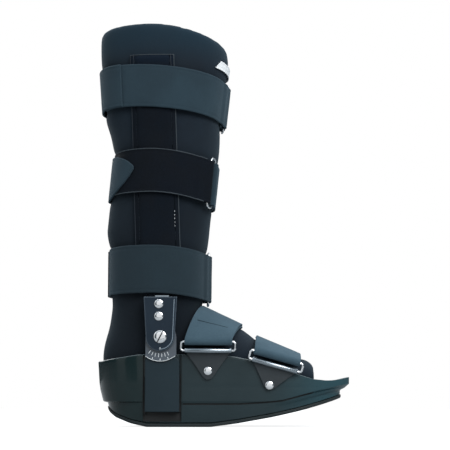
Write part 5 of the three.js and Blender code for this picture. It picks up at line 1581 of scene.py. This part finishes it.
def pipe(middle, way, length, outer, inner, sides=28):
    """A short hollow roll about a bar, with eased ends."""
    end, ease = length / 2, 0.35
    profile = [(-end, outer - ease), (-end + ease, outer), (end - ease, outer), (end, outer - ease)]
    profile += [(end, inner), (-end, inner)]
    across = unit(np.cross(way, (0, 1, 0)))
    other = np.cross(way, across)
    turns = np.linspace(0, 2 * np.pi, sides, endpoint=False)
    around = np.outer(np.cos(turns), across) + np.outer(np.sin(turns), other)
    return swept([middle + way * s + r * around for s, r in profile], closed=True)


for name, spec in FOOT_STRAPS.items():
    long, up, bar = ring_frame(spec)
    tab = piece(f"{name}_ring_tab", make_tab(spec), tab_plastic, [f"{name}_tab"])
    rounded(tab, 0.45)
    roll = pipe(bar, long, FOOT_STRAP_WIDTH - 1, ROLL_RADIUS, WIRE_RADIUS + GAP)
    piece(f"{name}_roll", roll, roll_metal, smooth=50)
    x, _, z = bar - up * spec["rivet"] * FOOT_STRAP_WIDTH
    near_spot = (x, z, shell_half_at(x, z) + GAP + TAB_SEAT + TAB_THICK)
    bright_head(f"{name}_tab_head", f"{name}_tab_rivet", near_spot, -1, TAB_RIVET_RADIUS, shank=3.0)
    far_spot = (bar[0], wall_edge_at(bar[0]) - FOOT_STRAP_TAIL / 2, far_webbing(spec) + WEB / 2)
    bright_head(f"{name}_far_head", f"{name}_strap_rivet", far_spot, 1, TAB_RIVET_RADIUS, shank=3.0)

# %% [markdown]
# A blank white label is sewn round the front of the sock, close under the rim. It is a thin band along two
# edge lines, and its near end is cut on a slant.

# %% Blank label
LABEL_MIDDLE, LABEL_HEIGHT, LABEL_THICK = BOOT_HEIGHT - 30.5, 12, 0.8
LABEL_LOW_START, LABEL_HIGH_START, LABEL_END = -39, -31, 34


def label_line(z, start):
    turns = np.radians(np.linspace(start, LABEL_END, 60))
    return np.array([leg_point(leg_section(z), t, GAP + 0.5 + LABEL_THICK / 2) for t in turns])


label_lines = [
    label_line(LABEL_MIDDLE - LABEL_HEIGHT / 2, LABEL_LOW_START),
    label_line(LABEL_MIDDLE + LABEL_HEIGHT / 2, LABEL_HIGH_START),
]
webbing("blank_label", "front_label", label_lines, "label_cloth", LABEL_THICK, 0.05)

# %% [markdown]
# A product picture has a white ground with hardly any shadow. A wide pale floor and a pale world give that.
# Large soft lights make long reflections on the plastic, and their size matters more than their strength.
# Their places and sizes are metres, as everywhere in Blender.

# %% Floor, world and lights
WHITE = tint(255, 255, 255)
FLOOR_SEEN = 0.86
LIGHTS = (
    # name, place, aim, size, power
    ("key", (0.9, -1.6, 1.3), (0.05, 0, 0.2), (1.2, 1.2), 31),
    ("fill", (-1.5, -1.2, 0.7), (0, 0, 0.2), (0.9, 1.6), 3),
    ("top", (0.1, 0.3, 1.9), (0.05, 0, 0), (1.6, 1.6), 20),
    ("front", (0.25, -2.6, 0.5), (0.05, 0, 0.15), (1.8, 1.1), 4.5),
    ("rim", (-0.9, 1.4, 1.0), (0, 0, 0.25), (1.0, 1.2), 11),
)


def make_floor():
    bpy.ops.mesh.primitive_circle_add(vertices=96, radius=1.4, fill_type="NGON", location=(0, 0, -0.0004))
    floor = bpy.context.object
    floor.name = "pale_floor"
    material = bpy.data.materials.new("pale_floor")
    material.use_nodes = True
    tree = material.node_tree
    shader = tree.nodes["Principled BSDF"]
    where = add(tree, "ShaderNodeTexCoord").outputs["Object"]
    colour = mixed(tree, speckle(tree, where, 6.0), tint(150, 154, 156), tint(158, 161, 163))
    tree.links.new(colour, shader.inputs["Base Color"])
    shader.inputs["Roughness"].default_value = 0.9
    shader.inputs["Emission Color"].default_value = WHITE
    seen = add(tree, "ShaderNodeLightPath").outputs["Is Camera Ray"]
    tree.links.new(maths(tree, "MULTIPLY", seen, FLOOR_SEEN), shader.inputs["Emission Strength"])
    floor.data.materials.append(material)
    floor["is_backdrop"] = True


def make_world():
    world = bpy.data.worlds.new("studio")
    bpy.context.scene.world = world
    world.use_nodes = True
    tree = world.node_tree
    ground = tree.nodes["Background"]
    ground.inputs["Strength"].default_value = 1.0
    seen = add(tree, "ShaderNodeLightPath").outputs["Is Camera Ray"]
    way = add(tree, "ShaderNodeSeparateXYZ", {0: add(tree, "ShaderNodeTexCoord").outputs["Generated"]})
    rise = ramp(tree, way.outputs[2], 0.0, 0.7)
    room = mixed(tree, rise, tint(62, 72, 75), tint(200, 208, 214))
    tree.links.new(mixed(tree, seen, room, WHITE), ground.inputs["Color"])


def soft_light(name, place, aim, size, power):
    data = bpy.data.lights.new(name, "AREA")
    data.shape, data.size, data.size_y, data.energy = "RECTANGLE", *size, power
    light = placed(name, data)
    light.location = place
    light.rotation_euler = (Vector(aim) - Vector(place)).to_track_quat("-Z", "Y").to_euler()


make_floor()
make_world()
for values in LIGHTS:
    soft_light(*values)
print(len(bpy.data.lights), "soft lights round the boot")

# %% [markdown]
# The camera stands low, just above the floor, with a long lens. These values were solved from known points
# of the boot in the photograph. Blender's Standard view shows the colours as they were mixed, which suits a
# white ground.

# %% Camera
CAMERA_PLACE, CAMERA_TILT, CAMERA_LENS, SENSOR_WIDTH = (0.0679, -1.4, 0.035), 97.53, 101.84, 36
camera = placed("camera", bpy.data.cameras.new("camera"))
camera.location = CAMERA_PLACE
camera.rotation_euler = (math.radians(CAMERA_TILT), 0, 0)
camera.data.lens, camera.data.sensor_width = CAMERA_LENS, SENSOR_WIDTH
bpy.context.scene.camera = camera
bpy.context.scene.view_settings.view_transform = "Standard"
print("the lens is", round(CAMERA_LENS, 1), "mm, and the camera stands", -CAMERA_PLACE[1], "m away")

# %% [markdown]
# Last, the size of the finished boot is compared with the size of the solids.

# %% Sizes and finish
final_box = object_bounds()
for label, before, after in zip("xyz", zip(*cad_box), zip(*final_box)):
    print(label, [round(v / MM, 1) for v in before], [round(v / MM, 1) for v in after])
